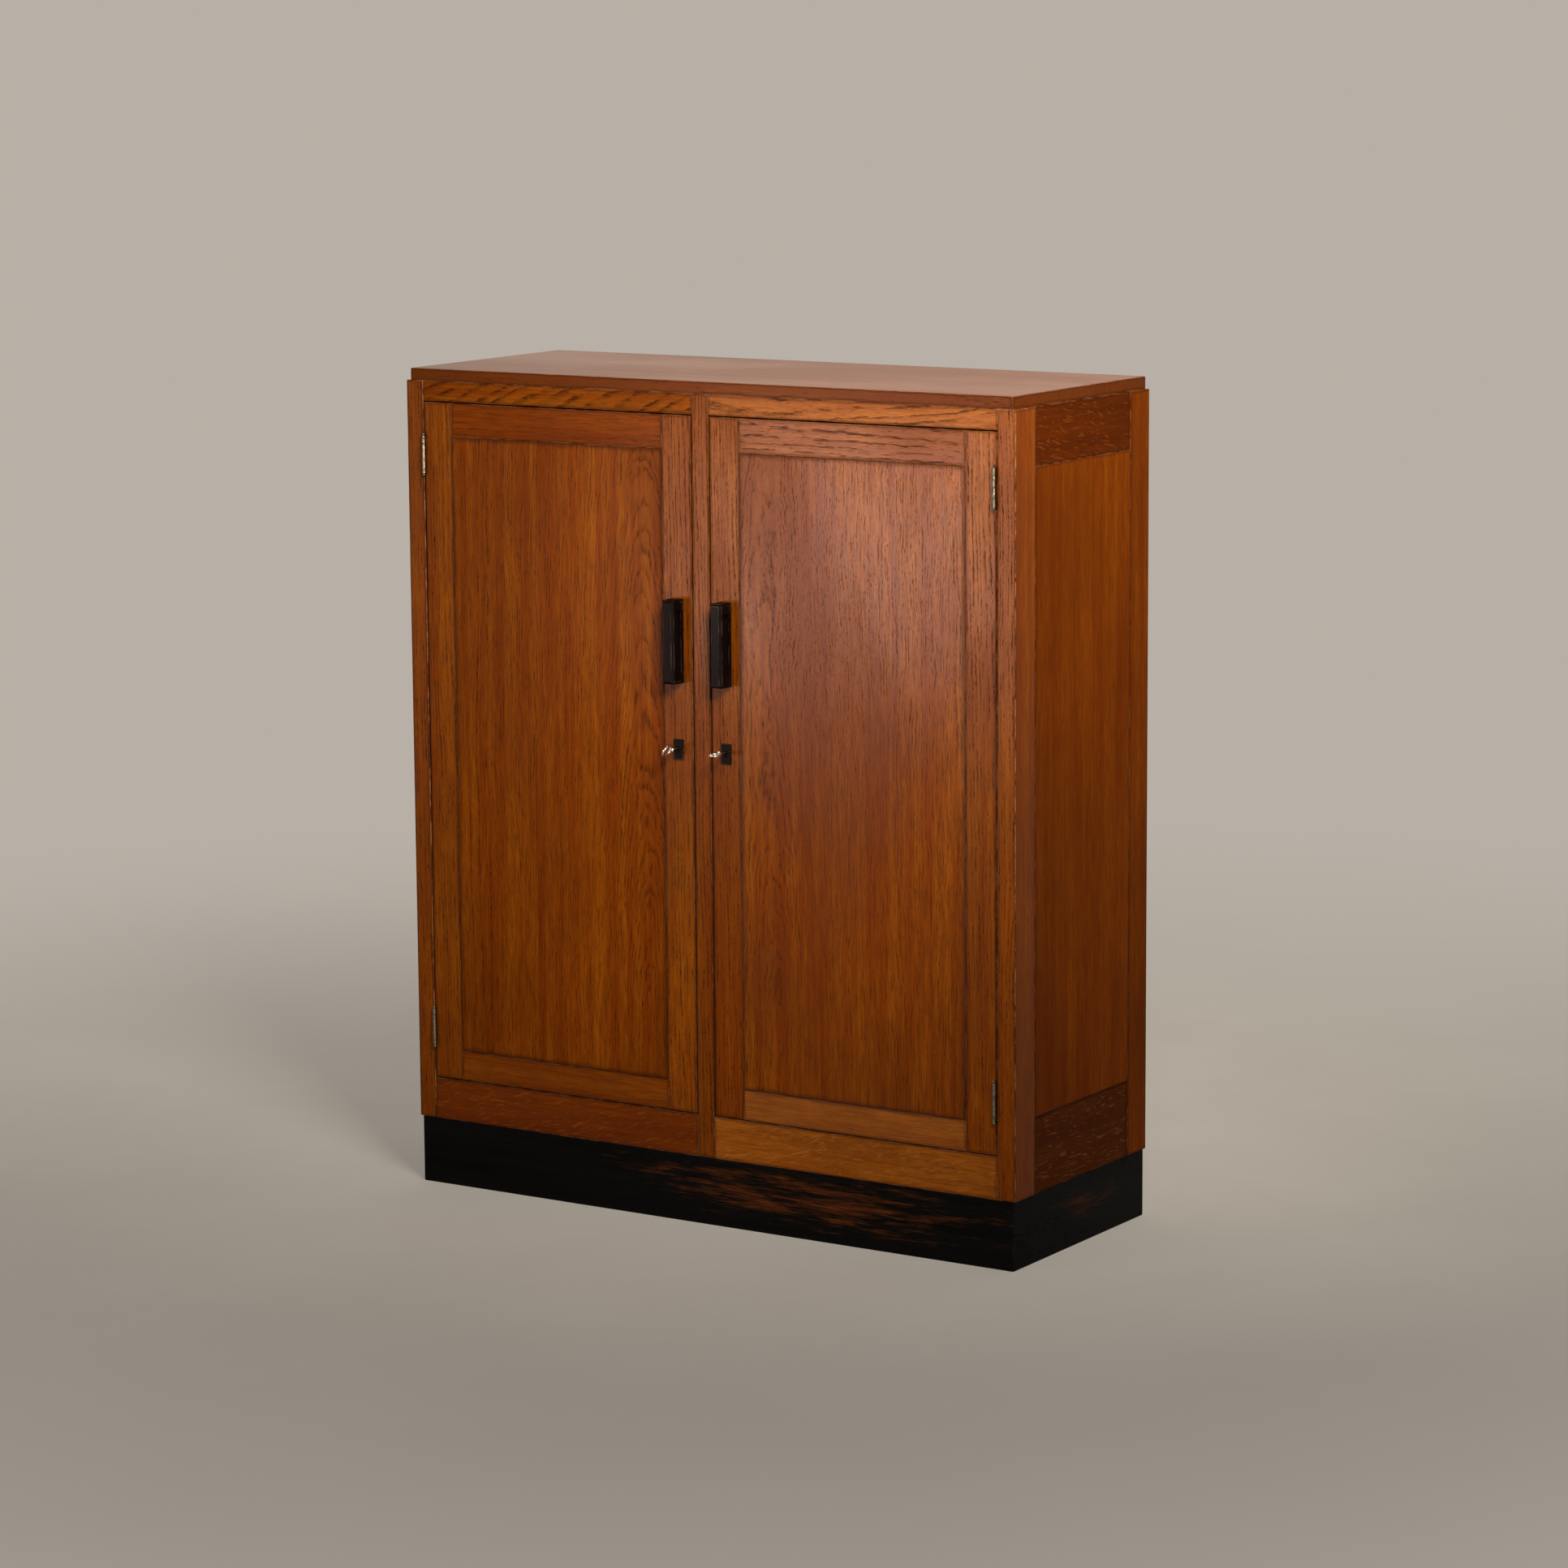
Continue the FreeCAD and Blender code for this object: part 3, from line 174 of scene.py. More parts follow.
# %% [markdown]
# ## Floor and backdrop
# The cabinet stands on a plain pale floor. The floor could end at a wall, but a wall would hide the cabinet
# from behind. So the floor fades into a backdrop of the same pale tone, which only camera and mirror rays
# see, and no extra light falls on the wood.

# %% Floor and backdrop
BACKDROP = srgb(184, 176, 166)
SCREED_DARK, SCREED_PALE = srgb(186, 178, 165), srgb(196, 188, 175)
FLOOR_REACH = 120.0
FADE_START, FADE_END = 0.9, 4.2
floor_mesh = bpy.data.meshes.new("floor")
floor_corners = [(x * FLOOR_REACH, y * FLOOR_REACH, 0.0) for x, y in ((-1, -1), (1, -1), (1, 1), (-1, 1))]
floor_mesh.from_pydata(floor_corners, [], [(0, 1, 2, 3)])
floor = bpy.data.objects.new("floor", floor_mesh)
bpy.context.scene.collection.objects.link(floor)


def background_rays(tree):
    """One for rays from the camera, a mirror or glass, which see the pale backdrop; nought for light."""
    path = put(tree, "LightPath").outputs
    seen_rays = reckon(tree, "MAXIMUM", path["Is Camera Ray"], path["Is Glossy Ray"])
    return reckon(tree, "MAXIMUM", seen_rays, path["Is Transmission Ray"])


def floor_finish():
    """Pale smooth screed, which fades into the backdrop's tone a few metres away."""
    finish, tree, place = new_finish("pale_floor")
    mottle = cloudy(tree, place, stretch=(1.3, 1.3, 1.3), detail=6.0, rough=0.62)
    tone = mixed(tree, faded(tree, mottle, low=0.3, high=0.7), SCREED_DARK, SCREED_PALE)
    matt = put(tree, "BsdfDiffuse", {"Color": tone})
    far = put(tree, "Emission", {"Color": BACKDROP, "Strength": 1.0})
    away = faded(tree, vectors(tree, "LENGTH", place), FADE_START, FADE_END, start=0.4)
    hidden = times(tree, away, background_rays(tree))
    blend = put(tree, "MixShader", {0: hidden, 1: matt.outputs[0], 2: far.outputs[0]})
    put(tree, "OutputMaterial", {"Surface": blend.outputs[0]})
    return finish


floor_mesh.materials.append(floor_finish())
print("floor", 2 * FLOOR_REACH, "m across")

# %% [markdown]
# ## Light
# A photographer lights furniture with large soft lamps. One stands high on the right and lights the side
# and the front. A softbox on the left stands where the doors mirror it to the camera, which gives the
# polish its pale sheen. A wide lamp overhead keeps the floor even. From behind, the waxed top would show
# the high lamp as a white patch, so mirror rays don't see that lamp. A lower one, which only mirror rays
# see, gives keys and hinges their glints instead.

# %% Light
ROOM_WHITE, ROOM_STRENGTH = (1.0, 0.985, 0.96, 1.0), 0.07
LAMP_WHITE = (1.0, 0.96, 0.91)
world = bpy.data.worlds.new("studio")
bpy.context.scene.world = world
world.use_nodes = True
studio = world.node_tree
studio.nodes.clear()
room_light = put(studio, "Background", {"Color": ROOM_WHITE, "Strength": ROOM_STRENGTH})
room_seen = put(studio, "Background", {"Color": BACKDROP, "Strength": 1.0})
room_rays = background_rays(studio)
room_mix = put(studio, "MixShader", {0: room_rays, 1: room_light.outputs[0], 2: room_seen.outputs[0]})
put(studio, "OutputWorld", {"Surface": room_mix.outputs[0]})
bpy.context.scene.view_settings.view_transform = "Standard"


def softbox(name, place, aim, width, height, watts, spread):
    """A flat lamp behind white cloth, with a grid that keeps its light within a spread in degrees."""
    lamp = bpy.data.lights.new(name, "AREA")
    lamp.shape = "RECTANGLE"
    lamp.size = width
    lamp.size_y = height
    lamp.energy = watts
    lamp.spread = math.radians(spread)
    lamp.color = LAMP_WHITE
    stand = bpy.data.objects.new(name, lamp)
    stand.location = place
    stand.rotation_euler = (Vector(aim) - Vector(place)).to_track_quat("-Z", "Y").to_euler()
    bpy.context.scene.collection.objects.link(stand)
    return stand


key_lamp = softbox("key_lamp", place=(2.3, -2.0, 3.1), aim=(0.45, 0.0, 1.80), width=1.2, height=1.2,
                   watts=33.0, spread=60.0)
key_lamp.visible_glossy = False
sheen_lamp = softbox("sheen_lamp", place=(-1.40, -3.06, 0.85), aim=(0.4, -0.2, 1.4), width=1.0, height=0.6,
                     watts=9.5, spread=80.0)
glint_lamp = softbox("glint_lamp", place=(2.0, -3.0, 1.2), aim=(-0.7, -0.25, 1.0), width=1.1, height=1.1,
                     watts=22.0, spread=60.0)
glint_lamp.visible_diffuse = False
sky_lamp = softbox("sky_lamp", place=(-0.5, 3.2, 5.0), aim=(-0.5, 3.2, 0.0), width=7.0, height=6.0,
                   watts=130.0, spread=180.0)
print("lamps", key_lamp.name, sheen_lamp.name, glint_lamp.name, sky_lamp.name)

# %% [markdown]
# ## Eased edges
# A joiner takes the sharp arris off every board with a plane, and years of hands and dusters round it
# further, so a real edge catches a thin line of light. A Bevel modifier can do that. On boards with screw
# holes it would shrink to nothing, because it stops where the smallest edges meet. So a small geometry-node
# graph picks only the long outward corners of each board and marks them, and the Bevel rounds what is
# marked.

# %% Mark the long edges
EASED = "eased_edges"
# An edge is marked if it is sharper than this angle, longer than this in metres, and off the sharp plane.
LEAST_ANGLE, LEAST_LENGTH, PLANE_MARGIN = math.radians(40), 0.015, 0.0001


def edge_marker():
    """A geometry-node graph that marks the long outward edges of a board, but for those in a sharp plane."""
    graph = bpy.data.node_groups.new("mark_long_edges", "GeometryNodeTree")
    graph.interface.new_socket("Geometry", in_out="INPUT", socket_type="NodeSocketGeometry")
    graph.interface.new_socket("Sharp Axis", in_out="INPUT", socket_type="NodeSocketVector")
    graph.interface.new_socket("Sharp At", in_out="INPUT", socket_type="NodeSocketFloat")
    graph.interface.new_socket("Geometry", in_out="OUTPUT", socket_type="NodeSocketGeometry")
    entry = graph.nodes.new("NodeGroupInput")
    leave = graph.nodes.new("NodeGroupOutput")
    angle = graph.nodes.new("GeometryNodeInputMeshEdgeAngle")
    ends = graph.nodes.new("GeometryNodeInputMeshEdgeVertices")
    here = graph.nodes.new("GeometryNodeInputPosition")
    length = put(graph, "VectorMath", operation="DISTANCE")
    along = put(graph, "VectorMath", operation="DOT_PRODUCT")
    from_plane = put(graph, "Math", operation="SUBTRACT")
    off_plane = put(graph, "Math", operation="ABSOLUTE")
    tests = [graph.nodes.new("FunctionNodeCompare") for _ in range(3)]
    sharp, long, free = tests
    for test, least in zip(tests, (LEAST_ANGLE, LEAST_LENGTH, PLANE_MARGIN)):
        test.inputs[1].default_value = least
    both = graph.nodes.new("FunctionNodeBooleanMath")
    every = graph.nodes.new("FunctionNodeBooleanMath")
    store = graph.nodes.new("GeometryNodeStoreNamedAttribute")
    store.data_type = "FLOAT"
    store.domain = "EDGE"
    store.inputs["Name"].default_value = EASED
    links = (
        (ends.outputs["Position 1"], length.inputs[0]), (ends.outputs["Position 2"], length.inputs[1]),
        (here.outputs[0], along.inputs[0]), (entry.outputs["Sharp Axis"], along.inputs[1]),
        (along.outputs["Value"], from_plane.inputs[0]), (entry.outputs["Sharp At"], from_plane.inputs[1]),
        (from_plane.outputs[0], off_plane.inputs[0]), (off_plane.outputs[0], free.inputs[0]),
        (angle.outputs["Signed Angle"], sharp.inputs[0]), (length.outputs["Value"], long.inputs[0]),
        (sharp.outputs[0], both.inputs[0]), (long.outputs[0], both.inputs[1]),
        (both.outputs[0], every.inputs[0]), (free.outputs[0], every.inputs[1]),
        (entry.outputs["Geometry"], store.inputs["Geometry"]), (every.outputs[0], store.inputs["Value"]),
        (store.outputs["Geometry"], leave.inputs[0]),
    )
    for output, socket in links:
        graph.links.new(output, socket)
    return graph


mark_long_edges = edge_marker()
marker_sockets = mark_long_edges.interface.items_tree
marker_inputs = {item.name: item.identifier for item in marker_sockets if item.in_out == "INPUT"}
print("graph", mark_long_edges.name, len(mark_long_edges.nodes), "nodes")

# %% [markdown]
# ## Ease the boards
# The edge of a stile or rail that meets the panel was never planed, so each of those names the plane of
# that edge, and the graph leaves out the edges in it. The frame tells where the plane is: on the side
# towards the panel.

# %% Ease the boards
SIDES = ("left", "right")
ARRIS = 0.0012
HANDLE_ARRIS = ARRIS / 2
JOIN_REACH = 1e-5
ROUNDING_STEPS = 3
NO_AXIS, ACROSS, UP = (0.0, 0.0, 0.0), (1.0, 0.0, 0.0), (0.0, 0.0, 1.0)


def ease(name, width=ARRIS, sharp_axis=NO_AXIS, sharp_at=1.0):
    """Rounds a board's long edges by this much, in metres, but for those in a sharp plane."""
    board = nodes[name]
    board.modifiers.new("join_corners", "WELD").merge_threshold = JOIN_REACH
    mark = board.modifiers.new("mark", "NODES")
    mark.node_group = mark_long_edges
    mark[marker_inputs["Sharp Axis"]] = sharp_axis
    mark[marker_inputs["Sharp At"]] = sharp_at
    rounding = board.modifiers.new("ease", "BEVEL")
    rounding.limit_method = "WEIGHT"
    rounding.edge_weight = EASED
    rounding.width = width
    rounding.segments = ROUNDING_STEPS


def near_face(name, target, axis):
    """Where a board ends on the side towards another board."""
    low, high = (corner["xyz".index(axis)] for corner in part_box(name))
    aim = sum(corner["xyz".index(axis)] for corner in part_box(target)) / 2
    return low if abs(low - aim) < abs(high - aim) else high


for side in SIDES:
    panel, side_panel = f"{side}_door_panel", f"side_panel_{side}"
    for board in (f"{side}_hinge_stile", f"{side}_lock_stile"):
        ease(board, sharp_axis=ACROSS, sharp_at=near_face(board, panel, "x"))
    for board in (f"{side}_door_top_rail", f"{side}_door_bottom_rail"):
        ease(board, sharp_axis=UP, sharp_at=near_face(board, panel, "z"))
    for board in (f"side_top_rail_{side}", f"side_bottom_rail_{side}"):
        ease(board, sharp_axis=UP, sharp_at=near_face(board, side_panel, "z"))
    for piece in ("post_front", "post_rear", "front_top_rail", "front_bottom_rail", "side_panel"):
        ease(f"{piece}_{side}")
    ease(panel)
    ease(f"{side}_handle", HANDLE_ARRIS)
ease("centre_post")
for piece in ("front", "left", "right", "rear"):
    ease(f"plinth_{piece}")
print("eased", sum(bool(board.modifiers) for board in nodes.values()), "boards")

# %% [markdown]
# ## Growth rings
# A board shows the rings of the tree it was sawn from. Near the heart line they make arches, further away
# straight close lines. A painted stripe pattern would look the same on every board. Instead this group
# measures how far each point lies from the tree's heart, an axis beside the board that leans and wanders a
# little, and cuts that distance into rings. Each ring starts with a band of open early wood, which takes
# more stain.

# %% Growth rings
RAGGED = 0.0032
RIPPLE_SHARE = (0.13, 0.13, 0.0)
SEASON_PACE, SEASON_CHANGE = 0.31, 2.2
GREY = (NOISE_MIDDLE, NOISE_MIDDLE, NOISE_MIDDLE)


def new_group(name, takes, gives):
    """A shader node group with named sockets. Returns the group, what comes in and what goes out."""
    graph = bpy.data.node_groups.new(name, "ShaderNodeTree")
    for label, kind in takes.items():
        graph.interface.new_socket(label, in_out="INPUT", socket_type="NodeSocket" + kind)
    for label, kind in gives.items():
        graph.interface.new_socket(label, in_out="OUTPUT", socket_type="NodeSocket" + kind)
    return graph, graph.nodes.new("NodeGroupInput").outputs, graph.nodes.new("NodeGroupOutput").inputs


def growth_rings():
    """Bands of early wood, rows of pores and a tone for each ring."""
    takes = {"Board": "Vector", "Heart Across": "Float", "Heart Depth": "Float", "Lean": "Float",
             "Slant": "Float", "Ring Width": "Float", "Wander": "Float"}
    gives = {"Early Wood": "Float", "Pore Row": "Float", "Ring Tone": "Float"}
    graph, given, out = new_group("growth_rings", takes, gives)
    board = given["Board"]
    sway = put(graph, "CombineXYZ", {"X": given["Wander"], "Y": given["Wander"], "Z": 0.0}).outputs[0]
    bends = vectors(graph, "SUBTRACT", cloudy(graph, board, stretch=(7.0, 7.0, 2.2), output="Color"), GREY)
    bent = vectors(graph, "ADD", board, vectors(graph, "MULTIPLY", bends, sway))
    ripples = cloudy(graph, board, stretch=(22.0, 22.0, 30.0), detail=1.0, output="Color")
    ripples = vectors(graph, "MULTIPLY", vectors(graph, "SUBTRACT", ripples, GREY), sway)
    bent = vectors(graph, "ADD", bent, vectors(graph, "MULTIPLY", ripples, RIPPLE_SHARE))
    axes = put(graph, "SeparateXYZ", {"Vector": bent}).outputs
    slanted = plus(graph, axes["X"], times(graph, axes["Z"], given["Slant"]))
    across = minus(graph, slanted, given["Heart Across"])
    leaning = times(graph, axes["Z"], given["Lean"])
    depth = plus(graph, minus(graph, axes["Y"], given["Heart Depth"]), leaning)
    from_heart = put(graph, "CombineXYZ", {"X": across, "Y": depth, "Z": 0.0}).outputs[0]
    ragged = cloudy(graph, board, stretch=(190.0, 190.0, 30.0), rough=0.6)
    ragged = times(graph, minus(graph, ragged, NOISE_MIDDLE), RAGGED)
    distance = plus(graph, vectors(graph, "LENGTH", from_heart), ragged)
    count = reckon(graph, "DIVIDE", distance, given["Ring Width"])
    season = times(graph, count, SEASON_PACE)
    seasons = put(graph, "TexNoise", {"W": season, "Scale": 1.0}, noise_dimensions="1D")
    count = plus(graph, count, times(graph, seasons.outputs["Fac"], SEASON_CHANGE))
    phase = reckon(graph, "FRACT", count)
    opening = faded(graph, phase, low=0.0, high=0.12)
    broken = cloudy(graph, board, stretch=(110.0, 110.0, 20.0), detail=1.0)
    broken = faded(graph, broken, low=0.34, high=0.62, start=0.2)
    band = times(graph, opening, faded(graph, phase, low=0.18, high=0.85, start=1.0, end=0.0))
    row = times(graph, opening, faded(graph, phase, low=0.18, high=0.5, start=1.0, end=0.0))
    fill(graph, out["Early Wood"], times(graph, band, broken))
    fill(graph, out["Pore Row"], times(graph, row, broken))
    year = put(graph, "TexWhiteNoise", {"W": reckon(graph, "FLOOR", count)}, noise_dimensions="1D")
    fill(graph, out["Ring Tone"], year.outputs["Value"])
    return graph


rings = growth_rings()
print("group", rings.name, len(rings.nodes), "nodes")

# %% [markdown]
# ## Pores
# Oak's open pores show as fine dark dashes along the grain, thickest in the early wood, because stain and
# polish gather in them. Noise drawn out many times longer than wide gives such dashes. Each ring's first
# band lowers the level at which a dash appears, so they crowd in rows along the rings as they do in real
# oak.

# %% Pores
PORE_LEVEL, ROW_DROP, FINE_SHARE = 0.70, 0.20, 0.75


def oak_pores():
    """Dashes along the grain, wide and fine ones."""
    takes = {"Board": "Vector", "Pore Row": "Float", "Amount": "Float"}
    graph, given, out = new_group("oak_pores", takes, {"Pores": "Float"})
    wide = cloudy(graph, given["Board"], stretch=(380.0, 380.0, 76.0), detail=1.0)
    fine = cloudy(graph, given["Board"], stretch=(880.0, 880.0, 120.0), detail=1.0)
    crowd = times(graph, given["Pore Row"], given["Amount"])
    level = minus(graph, PORE_LEVEL, times(graph, crowd, ROW_DROP))
    above = faded(graph, minus(graph, wide, level), low=0.0, high=0.16)
    small = times(graph, faded(graph, minus(graph, fine, level), low=-0.06, high=0.06), FINE_SHARE)
    fill(graph, out["Pores"], reckon(graph, "MAXIMUM", above, small))
    return graph


pores = oak_pores()
print("group", pores.name, len(pores.nodes), "nodes")

# %% [markdown]
# ## Ray fleck
# Boards sawn through the heart show oak's rays as short pale strokes. They are clear on the cabinet's side
# rails, level on the low one and slanted on the high one, and on the low front rails. Drawn-out noise cut
# off at a high level gives scattered strokes, and turning the board's axes first gives their slant.

# %% Ray fleck
FLECK_SWAY = (0.03, 0.03, 0.0)


def ray_fleck():
    """Scattered pale strokes, turned out of the grain by an angle."""
    graph, given, out = new_group("ray_fleck", {"Board": "Vector", "Turn": "Float"}, {"Fleck": "Float"})
    turn = {"Vector": given["Board"], "Angle": given["Turn"]}
    turned = put(graph, "VectorRotate", turn, rotation_type="Y_AXIS")
    waves = cloudy(graph, given["Board"], stretch=(14.0, 14.0, 12.0), detail=1.0, output="Color")
    waved = vectors(graph, "ADD", turned.outputs[0], vectors(graph, "MULTIPLY", waves, FLECK_SWAY))
    strokes = cloudy(graph, waved, stretch=(300.0, 300.0, 22.0), detail=1.0, rough=0.4)
    fill(graph, out["Fleck"], faded(graph, strokes, low=0.60, high=0.70))
    return graph


fleck = ray_fleck()
print("group", fleck.name, len(fleck.nodes), "nodes")

# %% [markdown]
# ## Stain and age
# Stain never takes evenly: broad cloudy patches, long soft streaks along the board, and thin darker fibres
# between paler ones. Short strokes break up the rings' bands. This group gives those changes as four masks,
# and each finish decides what they do.

# %% Stain and age
def stain_drift():
    """Four masks, from broad patches down to short strokes."""
    gives = {"Cloud": "Float", "Streak": "Float", "Fibre": "Float", "Stroke": "Float"}
    graph, given, out = new_group("stain_drift", {"Board": "Vector"}, gives)
    board = given["Board"]
    cloud = cloudy(graph, board, stretch=(3.2, 3.2, 1.7), detail=3.0, rough=0.55)
    fill(graph, out["Cloud"], faded(graph, cloud, low=0.3, high=0.7))
    streak = cloudy(graph, board, stretch=(46.0, 46.0, 1.3), detail=3.0, rough=0.6)
    fill(graph, out["Streak"], faded(graph, streak, low=0.3, high=0.7))
    fibre = cloudy(graph, board, stretch=(230.0, 230.0, 20.0), detail=4.0, rough=0.72)
    fill(graph, out["Fibre"], faded(graph, fibre, low=0.32, high=0.68))
    stroke = cloudy(graph, board, stretch=(400.0, 400.0, 60.0), rough=0.6)
    fill(graph, out["Stroke"], faded(graph, stroke, low=0.40, high=0.62))
    return graph


drift = stain_drift()
print("group", drift.name, len(drift.nodes), "nodes")

# %% [markdown]
# ## Edges of a board
# Dirt lies in the joints and along the panels' edges, and the same darkening stands in for the shade
# where boards meet, so it is painted shade as well as dirt. Polish is rubbed off the arrises, and their
# lighter line is partly wear and partly a painted highlight. Both need to know how far a point is from its
# board's nearest edge. Ambient occlusion could guess that, but it is noisy and slow. Each board is nearly a
# box, so its distance to the box's faces is plain arithmetic: on a face the smallest of the three distances
# is nought, and the middle one is the way to the nearest edge. The arris of a chamfered block lies a little
# way in from the box, so the group also takes how far it is set in.

# %% Edges of a board
UNEVEN_REACH = 2.0


def board_edges():
    """Masks for the dirt near a board's edges and for its rubbed arrises."""
    takes = {"Place": "Vector", "Low": "Vector", "High": "Vector", "Reach": "Float", "Set In": "Float",
             "Width": "Float"}
    # Masks for dirt and painted shade near the edges, and for worn arrises with a painted highlight.
    graph, given, out = new_group("board_edges", takes, {"Near Edge": "Float", "Arris": "Float"})
    to_low = vectors(graph, "SUBTRACT", given["Place"], given["Low"])
    to_high = vectors(graph, "SUBTRACT", given["High"], given["Place"])
    nearest = put(graph, "SeparateXYZ", {"Vector": vectors(graph, "MINIMUM", to_low, to_high)}).outputs
    smaller = reckon(graph, "MINIMUM", nearest["X"], nearest["Y"])
    larger = reckon(graph, "MAXIMUM", nearest["X"], nearest["Y"])
    middle = reckon(graph, "MAXIMUM", smaller, reckon(graph, "MINIMUM", larger, nearest["Z"]))
    uneven = cloudy(graph, given["Place"], stretch=(30.0, 30.0, 30.0), detail=4.0, rough=0.65)
    reach = times(graph, given["Reach"], times(graph, uneven, UNEVEN_REACH))
    inward = reckon(graph, "DIVIDE", middle, reach)
    fill(graph, out["Near Edge"], faded(graph, inward, low=0.0, high=1.0, start=1.0, end=0.0))
    broken = faded(graph, uneven, low=0.42, high=0.62)
    off_arris = reckon(graph, "ABSOLUTE", minus(graph, middle, given["Set In"]))
    off_arris = reckon(graph, "DIVIDE", off_arris, given["Width"])
    arris = faded(graph, off_arris, low=0.35, high=1.0, start=1.0, end=0.0)
    fill(graph, out["Arris"], times(graph, arris, broken))
    return graph


edges = board_edges()
print("group", edges.name, len(edges.nodes), "nodes")

# %% [markdown]
# ## How a board was sawn
# Every board gets a material of its own, so that its rings run along its length and differ from its
# neighbours'. A picture of each board would be heavy and could not be changed. A cut holds a few numbers
# instead: where the tree's heart lay beside the board, how wide the rings are, and how strongly each mark
# shows.

# %% How a board was sawn
# heart, depth, ring and wander are in metres, lean and slant in metres to the metre, turn in degrees. The
# others are strengths, but for dash: the larger it is, the shorter the pores.
MARKS = "heart depth lean ring wander early rows pores dash slant fleck turn"
Cut = namedtuple("Cut", MARKS, defaults=(0.0, 0.0, 0.0))
CUTS = {
    "post": Cut(heart=0.100, depth=0.050, lean=0.010, ring=0.0058, wander=0.020,
                early=0.40, rows=1.15, pores=0.90, dash=1.3),
    "stile": Cut(heart=0.120, depth=0.050, lean=0.012, ring=0.0070, wander=0.020,
                 early=0.50, rows=1.05, pores=0.75, dash=1.0, slant=0.01),
    "left_leaf": Cut(heart=0.188, depth=0.050, lean=-0.090, ring=0.0044, wander=0.040,
                     early=0.85, rows=0.8, pores=0.36, dash=1.1),
    "right_leaf": Cut(heart=-0.170, depth=0.055, lean=-0.050, ring=0.0048, wander=0.060,
                      early=0.70, rows=0.8, pores=0.30, dash=1.1),
    "slash": Cut(heart=0.300, depth=0.020, lean=0.010, ring=0.0215, wander=0.060,
                 early=0.95, rows=1.1, pores=0.70, dash=0.6, slant=-0.44),
    "arcs": Cut(heart=0.060, depth=0.012, lean=0.050, ring=0.0190, wander=0.080,
                early=0.95, rows=1.1, pores=0.80, dash=0.6, slant=-0.16),
    "fine": Cut(heart=0.110, depth=0.050, lean=0.010, ring=0.0050, wander=0.014,
                early=0.26, rows=0.7, pores=0.55, dash=0.5, slant=0.01),
    "bold": Cut(heart=0.040, depth=0.040, lean=0.020, ring=0.0086, wander=0.040,
                early=0.40, rows=1.1, pores=0.85, dash=0.5, slant=0.03),
    "quarter": Cut(heart=0.020, depth=0.300, lean=0.010, ring=0.0060, wander=0.012,
                   early=0.22, rows=0.4, pores=0.5, dash=0.7, fleck=0.36, turn=-16.0),
    "smooth": Cut(heart=0.120, depth=0.050, lean=0.015, ring=0.0080, wander=0.012,
                  early=0.14, rows=0.1, pores=0.22, dash=0.7),
}
CUTS["quarter_high"] = CUTS["quarter"]._replace(turn=13.0)
CUTS["quarter_low"] = CUTS["quarter"]._replace(fleck=0.60, turn=4.0)
print("cuts", ", ".join(CUTS))

# %% [markdown]
# ## Stains
# The boards of a real cabinet come from different planks, so the same stain gives golden, red and brown oak
# side by side. One tint over all of them would look like a print. Here each stain names the tones of its
# own kind of board: pale, warm and deep wood, early wood, pores and fleck.

# %% Stains
Stain = namedtuple("Stain", "pale warm deep early pore fleck")


def mix_stain(**tones):
    """A stain from picture colours."""
    return Stain(**{part: srgb(*tone) for part, tone in tones.items()})


STAINS = {
    "door": mix_stain(pale=(151, 81, 12), warm=(127, 56, 5), deep=(92, 38, 3),
                      early=(66, 27, 3), pore=(38, 17, 4), fleck=(168, 102, 38)),
    "leaf": mix_stain(pale=(149, 78, 10), warm=(124, 53, 4), deep=(90, 36, 3),
                      early=(62, 25, 3), pore=(38, 16, 4), fleck=(160, 92, 32)),
    "gold": mix_stain(pale=(174, 100, 28), warm=(148, 76, 14), deep=(108, 50, 6),
                      early=(82, 37, 5), pore=(42, 20, 5), fleck=(178, 116, 50)),
    "case": mix_stain(pale=(146, 76, 10), warm=(128, 56, 4), deep=(92, 37, 3),
                      early=(74, 31, 3), pore=(32, 15, 5), fleck=(160, 92, 32)),
    "red": mix_stain(pale=(128, 58, 8), warm=(106, 42, 3), deep=(82, 32, 3),
                     early=(68, 27, 3), pore=(30, 14, 5), fleck=(146, 80, 28)),
    "side": mix_stain(pale=(139, 68, 6), warm=(119, 52, 4), deep=(84, 32, 3),
                      early=(74, 30, 3), pore=(32, 15, 5), fleck=(150, 84, 28)),
    "brown": mix_stain(pale=(101, 41, 4), warm=(83, 31, 3), deep=(65, 25, 3),
                       early=(58, 23, 3), pore=(28, 13, 4), fleck=(138, 72, 22)),
    "dark": mix_stain(pale=(98, 47, 11), warm=(84, 36, 6), deep=(66, 28, 5),
                      early=(54, 24, 4), pore=(22, 11, 4), fleck=(132, 76, 32)),
    "inner": mix_stain(pale=(176, 122, 66), warm=(160, 104, 50), deep=(132, 84, 40),
                       early=(130, 82, 40), pore=(84, 50, 24), fleck=(186, 136, 84)),
}
print("stains", ", ".join(STAINS))

# %% [markdown]
# ## Oak finish
# Now the groups come together. The board's order of axes says across the face, into the wood, along the
# grain. Rings, pores, stain and edges each give masks, and the colour is built up much as on the real board:
# pale wood first, then streaks, patches and fibres of stain, early wood, pores, darkening near the edges
# that is dirt and painted shade, and lighter arrises that are wear and painted highlight.
# One could mix shaders, but a single Principled shader with a built-up colour is lighter and exports
# cleanly.

# %% The marks on a board
# The darkening near the edges is dirt in the joints and painted shade where the boards meet.
# The lighter tone of the arrises is partly wear and partly a painted highlight.
EDGE_DIRT_AND_SHADE_TONE, ARRIS_WEAR_AND_HIGHLIGHT_TONE = srgb(40, 16, 5), srgb(190, 118, 64)
ARRIS_WIDTH = 0.0022
Figure = namedtuple("Figure", "bands lines dashes age")


